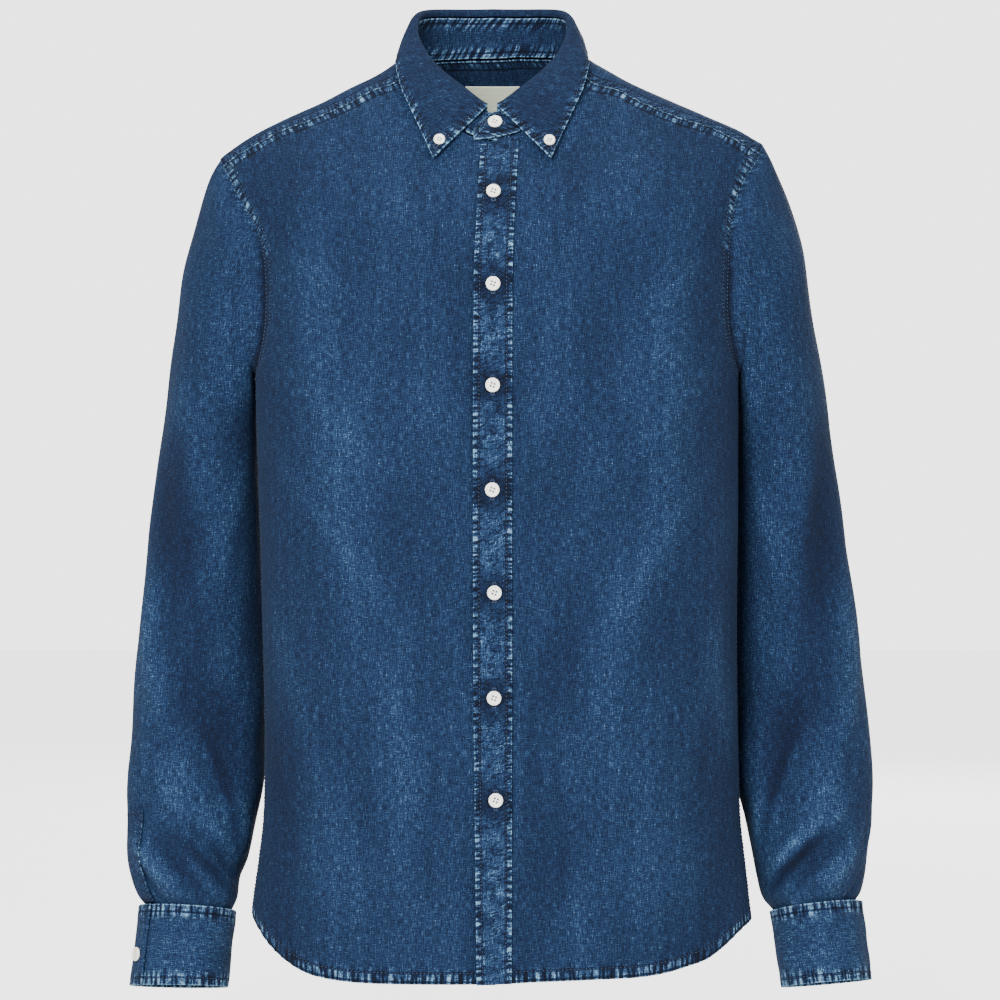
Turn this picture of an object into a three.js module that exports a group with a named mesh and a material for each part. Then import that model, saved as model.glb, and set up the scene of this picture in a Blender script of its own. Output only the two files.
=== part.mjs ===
// A long-sleeved denim shirt as it hangs filled out on a wearer, buttoned, sleeves down.
// Millimetres, +Z up, the front faces -Y and the wearer's right side is at -X.
// The origin is the middle of the shoulders, where the neck of a wearer carries the shirt.
// Every cut piece is one closed wall of cloth, with 0.3 mm between pieces along the seams.
import * as THREE from 'three';

const clothWall = 1.4;
const bandWall = 1.5;
const cuffWall = 1.8;
const standWall = 1.6;
const leafWall = 1.8;
const seamGap = 0.3;

const neckMiddle = -3;
const neckHalfWidth = 75;
const foldHalfWidth = 60.5;
const foldHalfDepth = 55;
const underarmHeight = -250;
const backSeamHeight = -84;
const frontReach = 100;
const backReach = 150;
const bodyRoundness = 2.5;

const buttonAcross = 11.5;
const smallButtonAcross = 9.2;
const buttonThick = 2.4;

// Ridge of the shoulders: distance out from the middle, height on each side of the wearer.
const shoulderRidge = [
  { out: 0, right: 48, left: 48 },
  { out: 20, right: 46, left: 46 },
  { out: 40, right: 39, left: 38 },
  { out: 60, right: 27, left: 25.5 },
  { out: 76, right: 14, left: 11.5 },
  { out: 92, right: 3, left: 2.5 },
  { out: 116, right: -10, left: -10 },
  { out: 145, right: -24, left: -23 },
  { out: 171, right: -36.5, left: -34 },
  { out: 196, right: -49, left: -45 },
  { out: 212, right: -58.5, left: -54 },
  { out: 226, right: -70, left: -63 },
  { out: 242, right: -88, left: -78 },
];

// Depth of the filled body in front of and behind the shoulder line.
const bodyDepth = [
  { height: 60, front: 50, back: 104 },
  { height: 12, front: 50, back: 105 },
  { height: -14, front: 55, back: 105 },
  { height: -35, front: 62, back: 105 },
  { height: -62, front: 71, back: 108 },
  { height: -110, front: 95, back: 112 },
  { height: -160, front: 107, back: 115 },
  { height: -250, front: 114, back: 113 },
  { height: -400, front: 116, back: 106 },
  { height: -520, front: 114, back: 104 },
  { height: -650, front: 112, back: 108 },
  { height: -740, front: 111, back: 110 },
];

// Half width of the filled body on each side of the wearer.
const bodyHalfWidth = [
  { height: 60, right: 236, left: 232 },
  { height: -59, right: 233, left: 226 },
  { height: -70, right: 232, left: 221 },
  { height: -101, right: 216, left: 205 },
  { height: -132, right: 201, left: 199 },
  { height: -180, right: 195.5, left: 197 },
  { height: -250, right: 196, left: 197.5 },
  { height: -320, right: 194, left: 197 },
  { height: -400, right: 191.5, left: 196.5 },
  { height: -520, right: 188.6, left: 196.5 },
  { height: -575, right: 188.6, left: 198 },
  { height: -611, right: 189.6, left: 199.5 },
  { height: -644, right: 193.5, left: 203 },
  { height: -677, right: 198.2, left: 206.6 },
  { height: -700, right: 200, left: 209 },
  { height: -740, right: 202, left: 212 },
];

// Armhole: how far out its front and back edges lie at each height.
const armhole = [
  { height: -50, frontRight: 228, backRight: 228, frontLeft: 221, backLeft: 221 },
  { height: -59, frontRight: 227, backRight: 227, frontLeft: 218, backLeft: 218.5 },
  { height: -70, frontRight: 225.5, backRight: 225.5, frontLeft: 213.5, backLeft: 215.5 },
  { height: -85, frontRight: 217.5, backRight: 218.5, frontLeft: 203.5, backLeft: 208 },
  { height: -101, frontRight: 209, backRight: 211, frontLeft: 195.5, backLeft: 199.7 },
  { height: -118, frontRight: 199, backRight: 202.5, frontLeft: 191.5, backLeft: 194.7 },
  { height: -132, frontRight: 192, backRight: 195.5, frontLeft: 189.5, backLeft: 191.9 },
  { height: -155, frontRight: 187, backRight: 190.5, frontLeft: 188, backLeft: 190.2 },
  { height: -185, frontRight: 185.5, backRight: 188.2, frontLeft: 187, backLeft: 189.2 },
  { height: -208, frontRight: 186.5, backRight: 188.6, frontLeft: 188, backLeft: 189.6 },
  { height: -228, frontRight: 190, backRight: 190.8, frontLeft: 191.5, backLeft: 191.8 },
  { height: -241, frontRight: 193.6, backRight: 194.2, frontLeft: 195.2, backLeft: 195.6 },
  { height: -250, frontRight: 196, backRight: 196, frontLeft: 197.5, backLeft: 197.5 },
];

// Curved hem: its height at each distance out from the middle.
const hemCurve = [
  { out: 0, right: -731, left: -730.5 },
  { out: 75, right: -731.5, left: -728 },
  { out: 110, right: -731, left: -727 },
  { out: 133, right: -729, left: -724.5 },
  { out: 152, right: -725, left: -720 },
  { out: 169, right: -716.5, left: -715 },
  { out: 183, right: -705, left: -706 },
  { out: 193, right: -693, left: -698 },
  { out: 200, right: -685, left: -693 },
  { out: 210, right: -682, left: -689 },
];

// Both edges of the button band, from its top to the hem.
const bandEdges = [
  { height: -50, start: -11.5, end: 18.5 },
  { height: -64, start: -12, end: 18 },
  { height: -130, start: -15.7, end: 14.4 },
  { height: -170, start: -17.2, end: 13.2 },
  { height: -300, start: -18, end: 12.8 },
  { height: -500, start: -17.5, end: 12.8 },
  { height: -740, start: -15, end: 12.4 },
];

// How far the yoke reaches down in front of the shoulder ridge.
const yokeReach = [
  { out: 60, drop: 20 },
  { out: 80, drop: 20 },
  { out: 100, drop: 14.5 },
  { out: 120, drop: 15 },
  { out: 150, drop: 13.5 },
  { out: 176, drop: 10 },
  { out: 200, drop: 11 },
  { out: 228, drop: 8.5 },
];

// Front half of the neck seam: height at each angle round the neck, 180 is the front middle.
const neckSeamFront = [
  { around: 90, height: 17 },
  { around: 105, height: 10 },
  { around: 120, height: -1 },
  { around: 135, height: -21 },
  { around: 150, height: -42 },
  { around: 165, height: -56 },
  { around: 180, height: -62 },
  { around: 200, height: -64 },
];

// Fold line of the collar: height at each angle round the neck, 0 is the back.
const collarFold = [
  { around: 0, height: 62 },
  { around: 45, height: 59.5 },
  { around: 72, height: 54 },
  { around: 90, height: 43 },
  { around: 113, height: 23 },
  { around: 128, height: 9 },
  { around: 145, height: -5 },
  { around: 158, height: -15 },
  { around: 171, height: -26 },
  { around: 180, height: -31 },
  { around: 200, height: -36 },
];

// Free edge of the collar: a row per angle, measured from the middle of the neck.
const collarEdge = [
  { around: 0, out: 0, back: 72.5, height: 11.2 },
  { around: 30, out: 37, back: 65, height: 12.5 },
  { around: 60, out: 65, back: 44, height: 13.2 },
  { around: 80, out: 75, back: 20, height: 15.4 },
  { around: 98, out: 77.5, back: -8, height: 13.5 },
  { around: 112, out: 78, back: -31, height: 4 },
  { around: 126, out: 74, back: -46, height: -14 },
  { around: 141, out: 66.5, back: -58, height: -32 },
  { around: 157, out: 57, back: -70.5, height: -53 },
  { around: 177, out: 47, back: -83, height: -76 },
];

// Sections down each sleeve: the outer and inner ends of the section, how far back its
// middle lies, its half depth, and how much its front edge rises for each mm of depth.
const sleeveSections = {
  right: [
    { outX: 225.5, outZ: -70, inX: 196, inZ: -250, back: 0, depth: 50, rise: 0 },
    { outX: 234.5, outZ: -86, inX: 201, inZ: -246.5, back: 4, depth: 54, rise: 0 },
    { outX: 246, outZ: -118, inX: 200, inZ: -253, back: 13, depth: 57, rise: 0 },
    { outX: 254.5, outZ: -152, inX: 198.5, inZ: -268, back: 19, depth: 58, rise: 0 },
    { outX: 260.5, outZ: -184.5, inX: 197.6, inZ: -282, back: 25, depth: 58, rise: 0 },
    { outX: 266, outZ: -218, inX: 197, inZ: -299, back: 30, depth: 58, rise: 0 },
    { outX: 270.5, outZ: -250, inX: 196.3, inZ: -318, back: 34, depth: 57.5, rise: 0 },
    { outX: 277, outZ: -296, inX: 195.3, inZ: -348, back: 38, depth: 57, rise: 0 },
    { outX: 284.5, outZ: -350, inX: 193.8, inZ: -388, back: 41, depth: 56, rise: 0.02 },
    { outX: 291, outZ: -414, inX: 191.4, inZ: -438, back: 42, depth: 55, rise: 0.05 },
    { outX: 297, outZ: -480, inX: 190, inZ: -492, back: 40, depth: 54, rise: 0.09 },
    { outX: 302.5, outZ: -545, inX: 191, inZ: -548, back: 34, depth: 52, rise: 0.13 },
    { outX: 305, outZ: -582, inX: 192.5, inZ: -582, back: 24, depth: 50, rise: 0.15 },
    { outX: 304, outZ: -612, inX: 198.5, inZ: -612, back: 19, depth: 48, rise: 0.17 },
    { outX: 303, outZ: -640, inX: 204.5, inZ: -640, back: 13, depth: 45.5, rise: 0.19 },
    { outX: 299, outZ: -659, inX: 211, inZ: -657, back: 9, depth: 43, rise: 0.2 },
    { outX: 293.5, outZ: -673, inX: 213, inZ: -674, back: 6, depth: 39, rise: 0.2 },
    { outX: 286, outZ: -683, inX: 218.2, inZ: -687, back: 5, depth: 31.8, rise: 0.2 },
    { outX: 286, outZ: -694, inX: 218.6, inZ: -698, back: 5, depth: 31.2, rise: 0.2 },
  ],
  left: [
    { outX: 218, outZ: -59, inX: 197.5, inZ: -250, back: 0, depth: 50, rise: 0 },
    { outX: 227.5, outZ: -75, inX: 202.5, inZ: -246.5, back: 4, depth: 54, rise: 0 },
    { outX: 241, outZ: -104, inX: 201.5, inZ: -253, back: 13, depth: 57, rise: 0 },
    { outX: 251.5, outZ: -138, inX: 200.3, inZ: -268, back: 19, depth: 58, rise: 0 },
    { outX: 257.5, outZ: -172, inX: 199.5, inZ: -282, back: 25, depth: 58, rise: 0 },
    { outX: 264, outZ: -212, inX: 199, inZ: -299, back: 30, depth: 58, rise: 0 },
    { outX: 269.5, outZ: -246, inX: 198.6, inZ: -318, back: 34, depth: 57.5, rise: 0 },
    { outX: 277.5, outZ: -294, inX: 198.2, inZ: -348, back: 38, depth: 57, rise: 0 },
    { outX: 285.5, outZ: -350, inX: 197.8, inZ: -388, back: 41, depth: 56, rise: 0.02 },
    { outX: 293.5, outZ: -414, inX: 197.2, inZ: -438, back: 42, depth: 55, rise: 0.05 },
    { outX: 302, outZ: -480, inX: 197, inZ: -492, back: 40, depth: 54, rise: 0.09 },
    { outX: 309, outZ: -545, inX: 198.5, inZ: -548, back: 34, depth: 52, rise: 0.13 },
    { outX: 311, outZ: -580, inX: 199.5, inZ: -582, back: 24, depth: 50, rise: 0.15 },
    { outX: 309.5, outZ: -610, inX: 206, inZ: -610, back: 19, depth: 48, rise: 0.17 },
    { outX: 305.5, outZ: -637, inX: 211.5, inZ: -638, back: 13, depth: 45.5, rise: 0.19 },
    { outX: 303, outZ: -656, inX: 215, inZ: -657, back: 9, depth: 43, rise: 0.2 },
    { outX: 299.5, outZ: -670, inX: 219.5, inZ: -674, back: 6, depth: 39, rise: 0.2 },
    { outX: 294, outZ: -679, inX: 229.8, inZ: -687, back: 5, depth: 31.8, rise: 0.2 },
    { outX: 294.4, outZ: -690, inX: 231.4, inZ: -698, back: 5, depth: 31.2, rise: 0.2 },
  ],
};

// Top and bottom rings of each cuff, in the same terms as the sleeve sections.
const cuffRings = {
  right: [
    { outX: 289.7, outZ: -682, inX: 214.2, inZ: -686, back: 5, depth: 35.5, rise: 0.2 },
    { outX: 297, outZ: -747, inX: 220.5, inZ: -748, back: 1, depth: 36.5, rise: 0.17 },
  ],
  left: [
    { outX: 297.8, outZ: -678, inX: 225.8, inZ: -686, back: 5, depth: 35.5, rise: 0.2 },
    { outX: 305.5, outZ: -742, inX: 234.8, inZ: -748, back: 1, depth: 36.5, rise: 0.17 },
  ],
};

// Largest soft folds of the body: a line from one place to another on the front or back,
// half the width of the fold and how far it stands out (below zero it sinks in).
const bodyFolds = [
  { back: false, fromX: -150, fromZ: -120, toX: -120, toZ: -420, half: 20, stand: 3 },
  { back: false, fromX: 150, fromZ: -130, toX: 128, toZ: -400, half: 20, stand: 3 },
  { back: false, fromX: 176, fromZ: -430, toX: 186, toZ: -560, half: 11, stand: 4 },
  { back: false, fromX: -80, fromZ: -470, toX: -64, toZ: -720, half: 18, stand: 2.5 },
  { back: false, fromX: 40, fromZ: -460, toX: 54, toZ: -722, half: 13, stand: -2.5 },
  { back: false, fromX: 96, fromZ: -420, toX: 80, toZ: -700, half: 18, stand: 2.5 },
  { back: true, fromX: -120, fromZ: -150, toX: -60, toZ: -420, half: 24, stand: 4 },
  { back: true, fromX: 125, fromZ: -150, toX: 70, toZ: -430, half: 24, stand: 4 },
  { back: true, fromX: -30, fromZ: -380, toX: -45, toZ: -700, half: 22, stand: 3.5 },
  { back: true, fromX: 60, fromZ: -420, toX: 75, toZ: -700, half: 20, stand: -3 },
];

// Largest folds of a sleeve: a line from one place to another, by angle from the outer side
// towards the front and by height, with its half width and how far it stands out.
const sleeveFolds = [
  { fromTurn: 28, fromZ: -285, toTurn: 75, toZ: -480, half: 20, stand: -4.5 },
  { fromTurn: 75, fromZ: -480, toTurn: 128, toZ: -590, half: 18.8, stand: -5 },
  { fromTurn: 20, fromZ: -400, toTurn: 52, toZ: -560, half: 20, stand: 3.5 },
  { fromTurn: 60, fromZ: -618, toTurn: 118, toZ: -668, half: 11.2, stand: -4.5 },
  { fromTurn: 35, fromZ: -622, toTurn: 88, toZ: -674, half: 11.2, stand: 4 },
  { fromTurn: 130, fromZ: -585, toTurn: 165, toZ: -640, half: 12.5, stand: 4 },
  { fromTurn: -40, fromZ: -330, toTurn: -100, toZ: -480, half: 22.5, stand: -4 },
  { fromTurn: -60, fromZ: -560, toTurn: -120, toZ: -650, half: 15, stand: 4 },
  { fromTurn: -20, fromZ: -610, toTurn: -70, toZ: -666, half: 12.5, stand: -4 },
];

const cloth = new THREE.MeshStandardMaterial({ color: 0x304c6e, roughness: 0.92, metalness: 0 });
const label = new THREE.MeshStandardMaterial({ color: 0xb9bfa6, roughness: 0.8, metalness: 0 });
const button = new THREE.MeshStandardMaterial({ color: 0xe6e4d8, roughness: 0.35, metalness: 0 });

const shirt = new THREE.Group();
shirt.name = 'denim_shirt';

const radians = (degrees) => (degrees * Math.PI) / 180;
const clamp = (value, low, high) => Math.min(high, Math.max(low, value));
const mix = (from, to, share) => from + (to - from) * share;
const ease = (share) => {
  const t = clamp(share, 0, 1);
  return t * t * (3 - 2 * t);
};

// Smooth reading of one column of a table, by cubic pieces that keep to the rows' slopes.
function read(rows, key, column, at) {
  const rising = rows[rows.length - 1][key] > rows[0][key];
  const sign = rising ? 1 : -1;
  if (sign * at <= sign * rows[0][key]) return rows[0][column];
  const last = rows.length - 1;
  if (sign * at >= sign * rows[last][key]) return rows[last][column];
  let i = 0;
  while (sign * rows[i + 1][key] < sign * at) i += 1;
  const slope = (a, b) => (rows[b][column] - rows[a][column]) / (rows[b][key] - rows[a][key]);
  const gap = rows[i + 1][key] - rows[i][key];
  const t = (at - rows[i][key]) / gap;
  const startSlope = slope(Math.max(i - 1, 0), i + 1) * gap;
  const endSlope = slope(i, Math.min(i + 2, last)) * gap;
  const a = rows[i][column];
  const b = rows[i + 1][column];
  const square = t * t;
  const cube = square * t;
  return (
    a * (2 * cube - 3 * square + 1) +
    startSlope * (cube - 2 * square + t) +
    b * (3 * square - 2 * cube) +
    endSlope * (cube - square)
  );
}

const sideOf = (x) => (x < 0 ? 'right' : 'left');
const ridgeHeight = (x) => read(shoulderRidge, 'out', sideOf(x), Math.abs(x));
const halfWidth = (x, z) => read(bodyHalfWidth, 'height', sideOf(x), z);
const hemHeight = (x) => read(hemCurve, 'out', sideOf(x), Math.abs(x));
const armholeOut = (x, z, back) => {
  const face = back ? 'back' : 'front';
  const side = x < 0 ? 'Right' : 'Left';
  return read(armhole, 'height', face + side, z);
};

// Soft ridge or trough along a line, fading out at both ends and to both sides.
function foldShare(acrossFrom, downFrom, acrossTo, downTo, half, across, down) {
  const runA = acrossTo - acrossFrom;
  const runD = downTo - downFrom;
  const long = runA * runA + runD * runD;
  const t = ((across - acrossFrom) * runA + (down - downFrom) * runD) / long;
  const near = clamp(t, 0, 1);
  const offA = across - (acrossFrom + runA * near);
  const offD = down - (downFrom + runD * near);
  const off = Math.hypot(offA, offD) / half;
  const along = Math.sin(Math.PI * clamp(t * 0.86 + 0.07, 0, 1));
  return Math.exp(-off * off) * along;
}

// Point of the filled body at one width and height, on its front or its back.
// The depth is a rounded section, run in to nothing at the shoulder ridge.
function bodyPoint(x, z, back) {
  const drop = ridgeHeight(x) - z;
  const reach = back ? backReach : frontReach;
  const t = clamp(drop / reach, 0, 1);
  const rise = Math.sqrt(Math.max(0, 1 - (1 - t) * (1 - t)));
  const share = Math.min(1, Math.abs(x) / halfWidth(x, z));
  const section = Math.pow(1 - Math.pow(share, bodyRoundness), 1 / bodyRoundness);
  let deep = read(bodyDepth, 'height', back ? 'back' : 'front', z);
  for (const fold of bodyFolds) {
    if (fold.back !== back) continue;
    deep += fold.stand * foldShare(fold.fromX, fold.fromZ, fold.toX, fold.toZ, fold.half, x, z);
  }
  const y = deep * section * rise;
  return new THREE.Vector3(x, back ? y : -y, z);
}

// Place on the neck seam at an angle round the neck, minus towards the wearer's right.
function neckPlace(around) {
  const turn = Math.abs(around);
  const x = neckMiddle + neckHalfWidth * Math.sin(radians(around));
  const back = turn < 90;
  const lean = radians(36.2) * Math.cos(radians(turn));
  const z = back
    ? ridgeHeight(x) - backReach * (1 - Math.cos(lean))
    : Math.min(ridgeHeight(x), read(neckSeamFront, 'around', 'height', turn));
  return { x, z, back };
}

// Solve for the place where a rising test changes sign, by halving.
function halve(low, high, test) {
  let a = low;
  let b = high;
  for (let i = 0; i < 26; i += 1) {
    const middle = (a + b) / 2;
    if (test(middle)) b = middle;
    else a = middle;
  }
  return (a + b) / 2;
}

// Spread a row of points evenly by length, and give the point at a share of it.
function rowPoint(place, share) {
  const count = 72;
  const lengths = [0];
  const points = [];
  for (let i = 0; i <= count; i += 1) {
    points.push(place(i / count));
    if (i > 0) lengths.push(lengths[i - 1] + points[i].distanceTo(points[i - 1]));
  }
  const wanted = lengths[count] * clamp(share, 0, 1);
  let i = 0;
  while (i < count - 1 && lengths[i + 1] < wanted) i += 1;
  const t = (wanted - lengths[i]) / Math.max(1e-9, lengths[i + 1] - lengths[i]);
  return points[i].clone().lerp(points[i + 1], t);
}

const frontTop = (x) => ridgeHeight(x) - read(yokeReach, 'out', 'drop', Math.abs(x));
const underarmShare = 0.36;

// Height of a panel row at one width, from its top seam through the underarm to the hem.
function rowHeight(x, share, back) {
  const top = back ? backSeamHeight : frontTop(x);
  if (share <= underarmShare) return mix(top, underarmHeight, share / underarmShare);
  return mix(underarmHeight, hemHeight(x), (share - underarmShare) / (1 - underarmShare));
}

// Outer end of a row: on the armhole above the underarm, on the side seam below it.
function rowEnd(side, share, back) {
  const place = (out) => ({ x: side * out, z: rowHeight(side * out, share, back) });
  if (share < underarmShare) {
    return halve(150, 240, (out) => out > armholeOut(side, place(out).z, back));
  }
  return halve(150, 240, (out) => out > halfWidth(side, place(out).z));
}

// Inner end of a front row: on the neck seam at the top, on the panel's own edge lower down.
function rowStart(side, share, edge) {
  const lowAngle = 100;
  const pastEdge = (turn) => side * (neckPlace(side * turn).x - edge(-64)) < 0;
  const highAngle = halve(150, 210, pastEdge);
  const above = (turn) => {
    const place = neckPlace(side * turn);
    return place.z < rowHeight(place.x, share, false);
  };
  if (above(highAngle)) return neckPlace(side * halve(lowAngle, highAngle, above)).x;
  const height = rowHeight(0, share, false);
  return edge(height);
}

const keptRows = new Map();
function keep(key, make) {
  if (!keptRows.has(key)) keptRows.set(key, make());
  return keptRows.get(key);
}

// Front panel on one side: share 0 is the button edge and 1 the side, down runs to the hem.
function frontSurface(side, edge, lift) {
  return (across, down) => {
    const ends = keep(`front ${side} ${down}`, () => [
      rowStart(side, down, edge) * side,
      rowEnd(side, down, false),
    ]);
    const point = rowPoint((share) => {
      const out = mix(ends[0], ends[1], 1 - Math.pow(1 - share, bodyRoundness));
      const x = side * out;
      return bodyPoint(x, rowHeight(x, down, false), false);
    }, across);
    point.y -= lift(point.x, point.z);
    return point;
  };
}

// Back panel from the wearer's right to the left.
function backSurface(across, down) {
  const ends = keep(`back ${down}`, () => [rowEnd(-1, down, true), rowEnd(1, down, true)]);
  return rowPoint((share) => {
    const t = 2 * share - 1;
    const spread = Math.sign(t) * (1 - Math.pow(1 - Math.abs(t), bodyRoundness));
    const x = spread < 0 ? spread * ends[0] : spread * ends[1];
    return bodyPoint(x, rowHeight(x, down, true), true);
  }, across);
}

// Place on the shoulders by width and by lean: below zero in front of the ridge.
function shoulderPoint(x, lean) {
  const back = lean > 0;
  const reach = back ? backReach : frontReach;
  const z = ridgeHeight(x) - reach * (1 - Math.cos(lean));
  return bodyPoint(x, z, back);
}
const leanAt = (x, z, back) => {
  const reach = back ? backReach : frontReach;
  const lean = Math.acos(clamp(1 - (ridgeHeight(x) - z) / reach, -1, 1));
  return back ? lean : -lean;
};

// Yoke: across from the wearer's right to the left, down from its front and neck edge
// over the shoulders to its back seam.
const yokeNeckStart = 0.34;
const yokeNeckSpread = 100;
const frontSeamAngles = [-1, 1].map((side) => halve(95, 140, (turn) => {
  const place = neckPlace(side * turn);
  return place.z < frontTop(place.x);
}));
function newYokeFrontEdge(across) {
  const side = across < 0.5 ? -1 : 1;
  const along = across < 0.5 ? across : 1 - across;
  if (along >= yokeNeckStart) {
    const share = (across - yokeNeckStart) / (1 - 2 * yokeNeckStart);
    const point = rowPoint((turnShare) => {
      const turn = mix(-frontSeamAngles[0], frontSeamAngles[1], turnShare);
      const place = neckPlace(turn);
      return bodyPoint(place.x, place.z, place.back);
    }, share);
    const height = Math.min(point.z, ridgeHeight(point.x));
    return { x: point.x, lean: leanAt(point.x, height, point.y > 0) };
  }
  const seam = side < 0 ? frontRight : frontLeft;
  const x = seam(1 - along / yokeNeckStart, 0).x;
  return { x, lean: leanAt(x, frontTop(x), false) };
}
const yokeFrontEdge = (across) => keep(`yoke front ${across}`, () => newYokeFrontEdge(across));
function yokeBackEdge(across) {
  const side = across < 0.5 ? -1 : 1;
  const along = across < 0.5 ? across : 1 - across;
  const tip = keep(`yoke tip ${side}`, () => rowEnd(side, 0, true));
  const x = along < yokeNeckStart
    ? side * mix(tip, yokeNeckSpread, along / yokeNeckStart)
    : side * mix(yokeNeckSpread, 0, (along - yokeNeckStart) / (0.5 - yokeNeckStart));
  return { x, lean: leanAt(x, backSeamHeight, true) };
}
function yokeSurface(across, down) {
  const front = yokeFrontEdge(across);
  const back = yokeBackEdge(across);
  let x = mix(front.x, back.x, down);
  const lean = mix(front.lean, back.lean, down);
  const outer = Math.abs(2 * across - 1);
  if (outer > 0.995) {
    const side = Math.sign(x);
    const past = (out) => out > armholeOut(side, shoulderPoint(side * out, lean).z, lean > 0);
    x = side * halve(150, 240, past);
  }
  return shoulderPoint(x, lean);
}

// Normal of a surface from small steps both ways.
function surfaceNormal(surface, across, down, step = 0.004) {
  const a = surface(clamp(across + step, 0, 1), down);
  const b = surface(clamp(across - step, 0, 1), down);
  const c = surface(across, clamp(down + step, 0, 1));
  const d = surface(across, clamp(down - step, 0, 1));
  return a.sub(b).cross(c.sub(d)).normalize();
}

// Closed wall of cloth from a grid of points and their normals.
function wallGeometry(points, normals, wall, closed) {
  const rows = points.length;
  const columns = points[0].length;
  const places = [];
  for (const side of [0.5, -0.5]) {
    for (let i = 0; i < rows; i += 1) {
      for (let j = 0; j < columns; j += 1) {
        const place = points[i][j].clone().addScaledVector(normals[i][j], side * wall);
        places.push(place.x, place.y, place.z);
      }
    }
  }
  const inner = rows * columns;
  const at = (i, j) => i * columns + (closed ? j % columns : j);
  const faces = [];
  const quad = (a, b, c, d) => faces.push(a, b, c, a, c, d);
  const lastColumn = closed ? columns : columns - 1;
  for (let i = 0; i < rows - 1; i += 1) {
    for (let j = 0; j < lastColumn; j += 1) {
      quad(at(i, j), at(i, j + 1), at(i + 1, j + 1), at(i + 1, j));
      quad(inner + at(i, j), inner + at(i + 1, j), inner + at(i + 1, j + 1), inner + at(i, j + 1));
    }
  }
  for (let j = 0; j < lastColumn; j += 1) {
    quad(at(0, j), inner + at(0, j), inner + at(0, j + 1), at(0, j + 1));
    const end = rows - 1;
    quad(at(end, j), at(end, j + 1), inner + at(end, j + 1), inner + at(end, j));
  }
  if (!closed) {
    const end = columns - 1;
    for (let i = 0; i < rows - 1; i += 1) {
      quad(at(i, 0), at(i + 1, 0), inner + at(i + 1, 0), inner + at(i, 0));
      quad(at(i, end), inner + at(i, end), inner + at(i + 1, end), at(i + 1, end));
    }
  }
  const geometry = new THREE.BufferGeometry();
  geometry.setAttribute('position', new THREE.Float32BufferAttribute(places, 3));
  geometry.setIndex(faces);
  return facedOut(geometry);
}

// Turn the faces round where the enclosed volume comes out below zero.
function facedOut(geometry) {
  const position = geometry.getAttribute('position');
  const index = geometry.getIndex();
  const a = new THREE.Vector3();
  const b = new THREE.Vector3();
  const c = new THREE.Vector3();
  let volume = 0;
  for (let i = 0; i < index.count; i += 3) {
    a.fromBufferAttribute(position, index.getX(i));
    b.fromBufferAttribute(position, index.getX(i + 1));
    c.fromBufferAttribute(position, index.getX(i + 2));
    volume += a.dot(b.cross(c));
  }
  if (volume < 0) {
    for (let i = 0; i < index.count; i += 3) {
      const second = index.getX(i + 1);
      index.setX(i + 1, index.getX(i + 2));
      index.setX(i + 2, second);
    }
  }
  geometry.computeVertexNormals();
  return geometry;
}

function addPiece(name, geometry, material) {
  const mesh = new THREE.Mesh(geometry, material);
  mesh.name = name;
  shirt.add(mesh);
  return mesh;
}

// Even shares from 0 to 1.
const shares = (count) => Array.from({ length: count + 1 }, (_, i) => i / count);

// One piece of cloth from its surface. The edges named in trims stand back by that length.
function addCloth(name, surface, acrossShares, downShares, wall, trims = {}, facing = 1) {
  const points = downShares.map((down) => acrossShares.map((across) => surface(across, down)));
  const normals = downShares.map((down) =>
    acrossShares.map((across) => surfaceNormal(surface, across, down).multiplyScalar(facing)));
  const lastRow = points.length - 1;
  const lastColumn = points[0].length - 1;
  const pull = (point, towards, length) => {
    const way = towards.clone().sub(point);
    point.addScaledVector(way.normalize(), length);
  };
  for (let j = 0; j <= lastColumn; j += 1) {
    if (trims.top) pull(points[0][j], points[1][j], trims.top);
    if (trims.bottom) pull(points[lastRow][j], points[lastRow - 1][j], trims.bottom);
  }
  for (let i = 0; i <= lastRow; i += 1) {
    if (trims.start) pull(points[i][0], points[i][1], trims.start);
    if (trims.end) pull(points[i][lastColumn], points[i][lastColumn - 1], trims.end);
  }
  return addPiece(name, wallGeometry(points, normals, wall, false), cloth);
}

const seamTrim = 0.6 * seamGap;
const topRows = 8;
const lowRows = 12;
const panelRows = [
  ...shares(topRows).map((share) => share * underarmShare),
  ...shares(lowRows).slice(1).map((share) => mix(underarmShare, 1, share)),
];

// Fronts: the right one lies under, the left one steps out over it and carries the band.
const overlapStep = 2.6;
const bandStep = 1.95;
const rightEdge = (z) => read(bandEdges, 'height', 'end', z) - 2;
const leftEdge = (z) => read(bandEdges, 'height', 'start', z) + 1;
const noLift = () => 0;
const overlapLift = (x, z) => {
  const end = read(bandEdges, 'height', 'end', z);
  return overlapStep * ease((end + 18 - x) / 15);
};
const frontRight = frontSurface(-1, rightEdge, noLift);
const frontLeft = frontSurface(1, leftEdge, overlapLift);
const frontColumns = shares(12);
const sideTrims = { top: seamTrim, end: seamTrim };
addCloth('front_right', frontRight, frontColumns, panelRows, clothWall, sideTrims, 1);
addCloth('front_left', frontLeft, frontColumns, panelRows, clothWall, sideTrims, -1);

const backColumns = shares(24);
const backTrims = { top: seamTrim, start: seamTrim, end: seamTrim };
addCloth('back', backSurface, backColumns, panelRows, clothWall, backTrims, -1);

const yokeColumns = [
  ...frontColumns.map((share) => share * yokeNeckStart),
  ...shares(12).slice(1).map((share) => mix(yokeNeckStart, 1 - yokeNeckStart, share)),
  ...frontColumns.slice(1).map((share) => mix(1 - yokeNeckStart, 1, share)),
];
const yokeRows = shares(9);
const yokeTrims = { top: seamTrim, bottom: seamTrim };
addCloth('yoke', yokeSurface, yokeColumns, yokeRows, clothWall, yokeTrims, -1);

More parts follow.
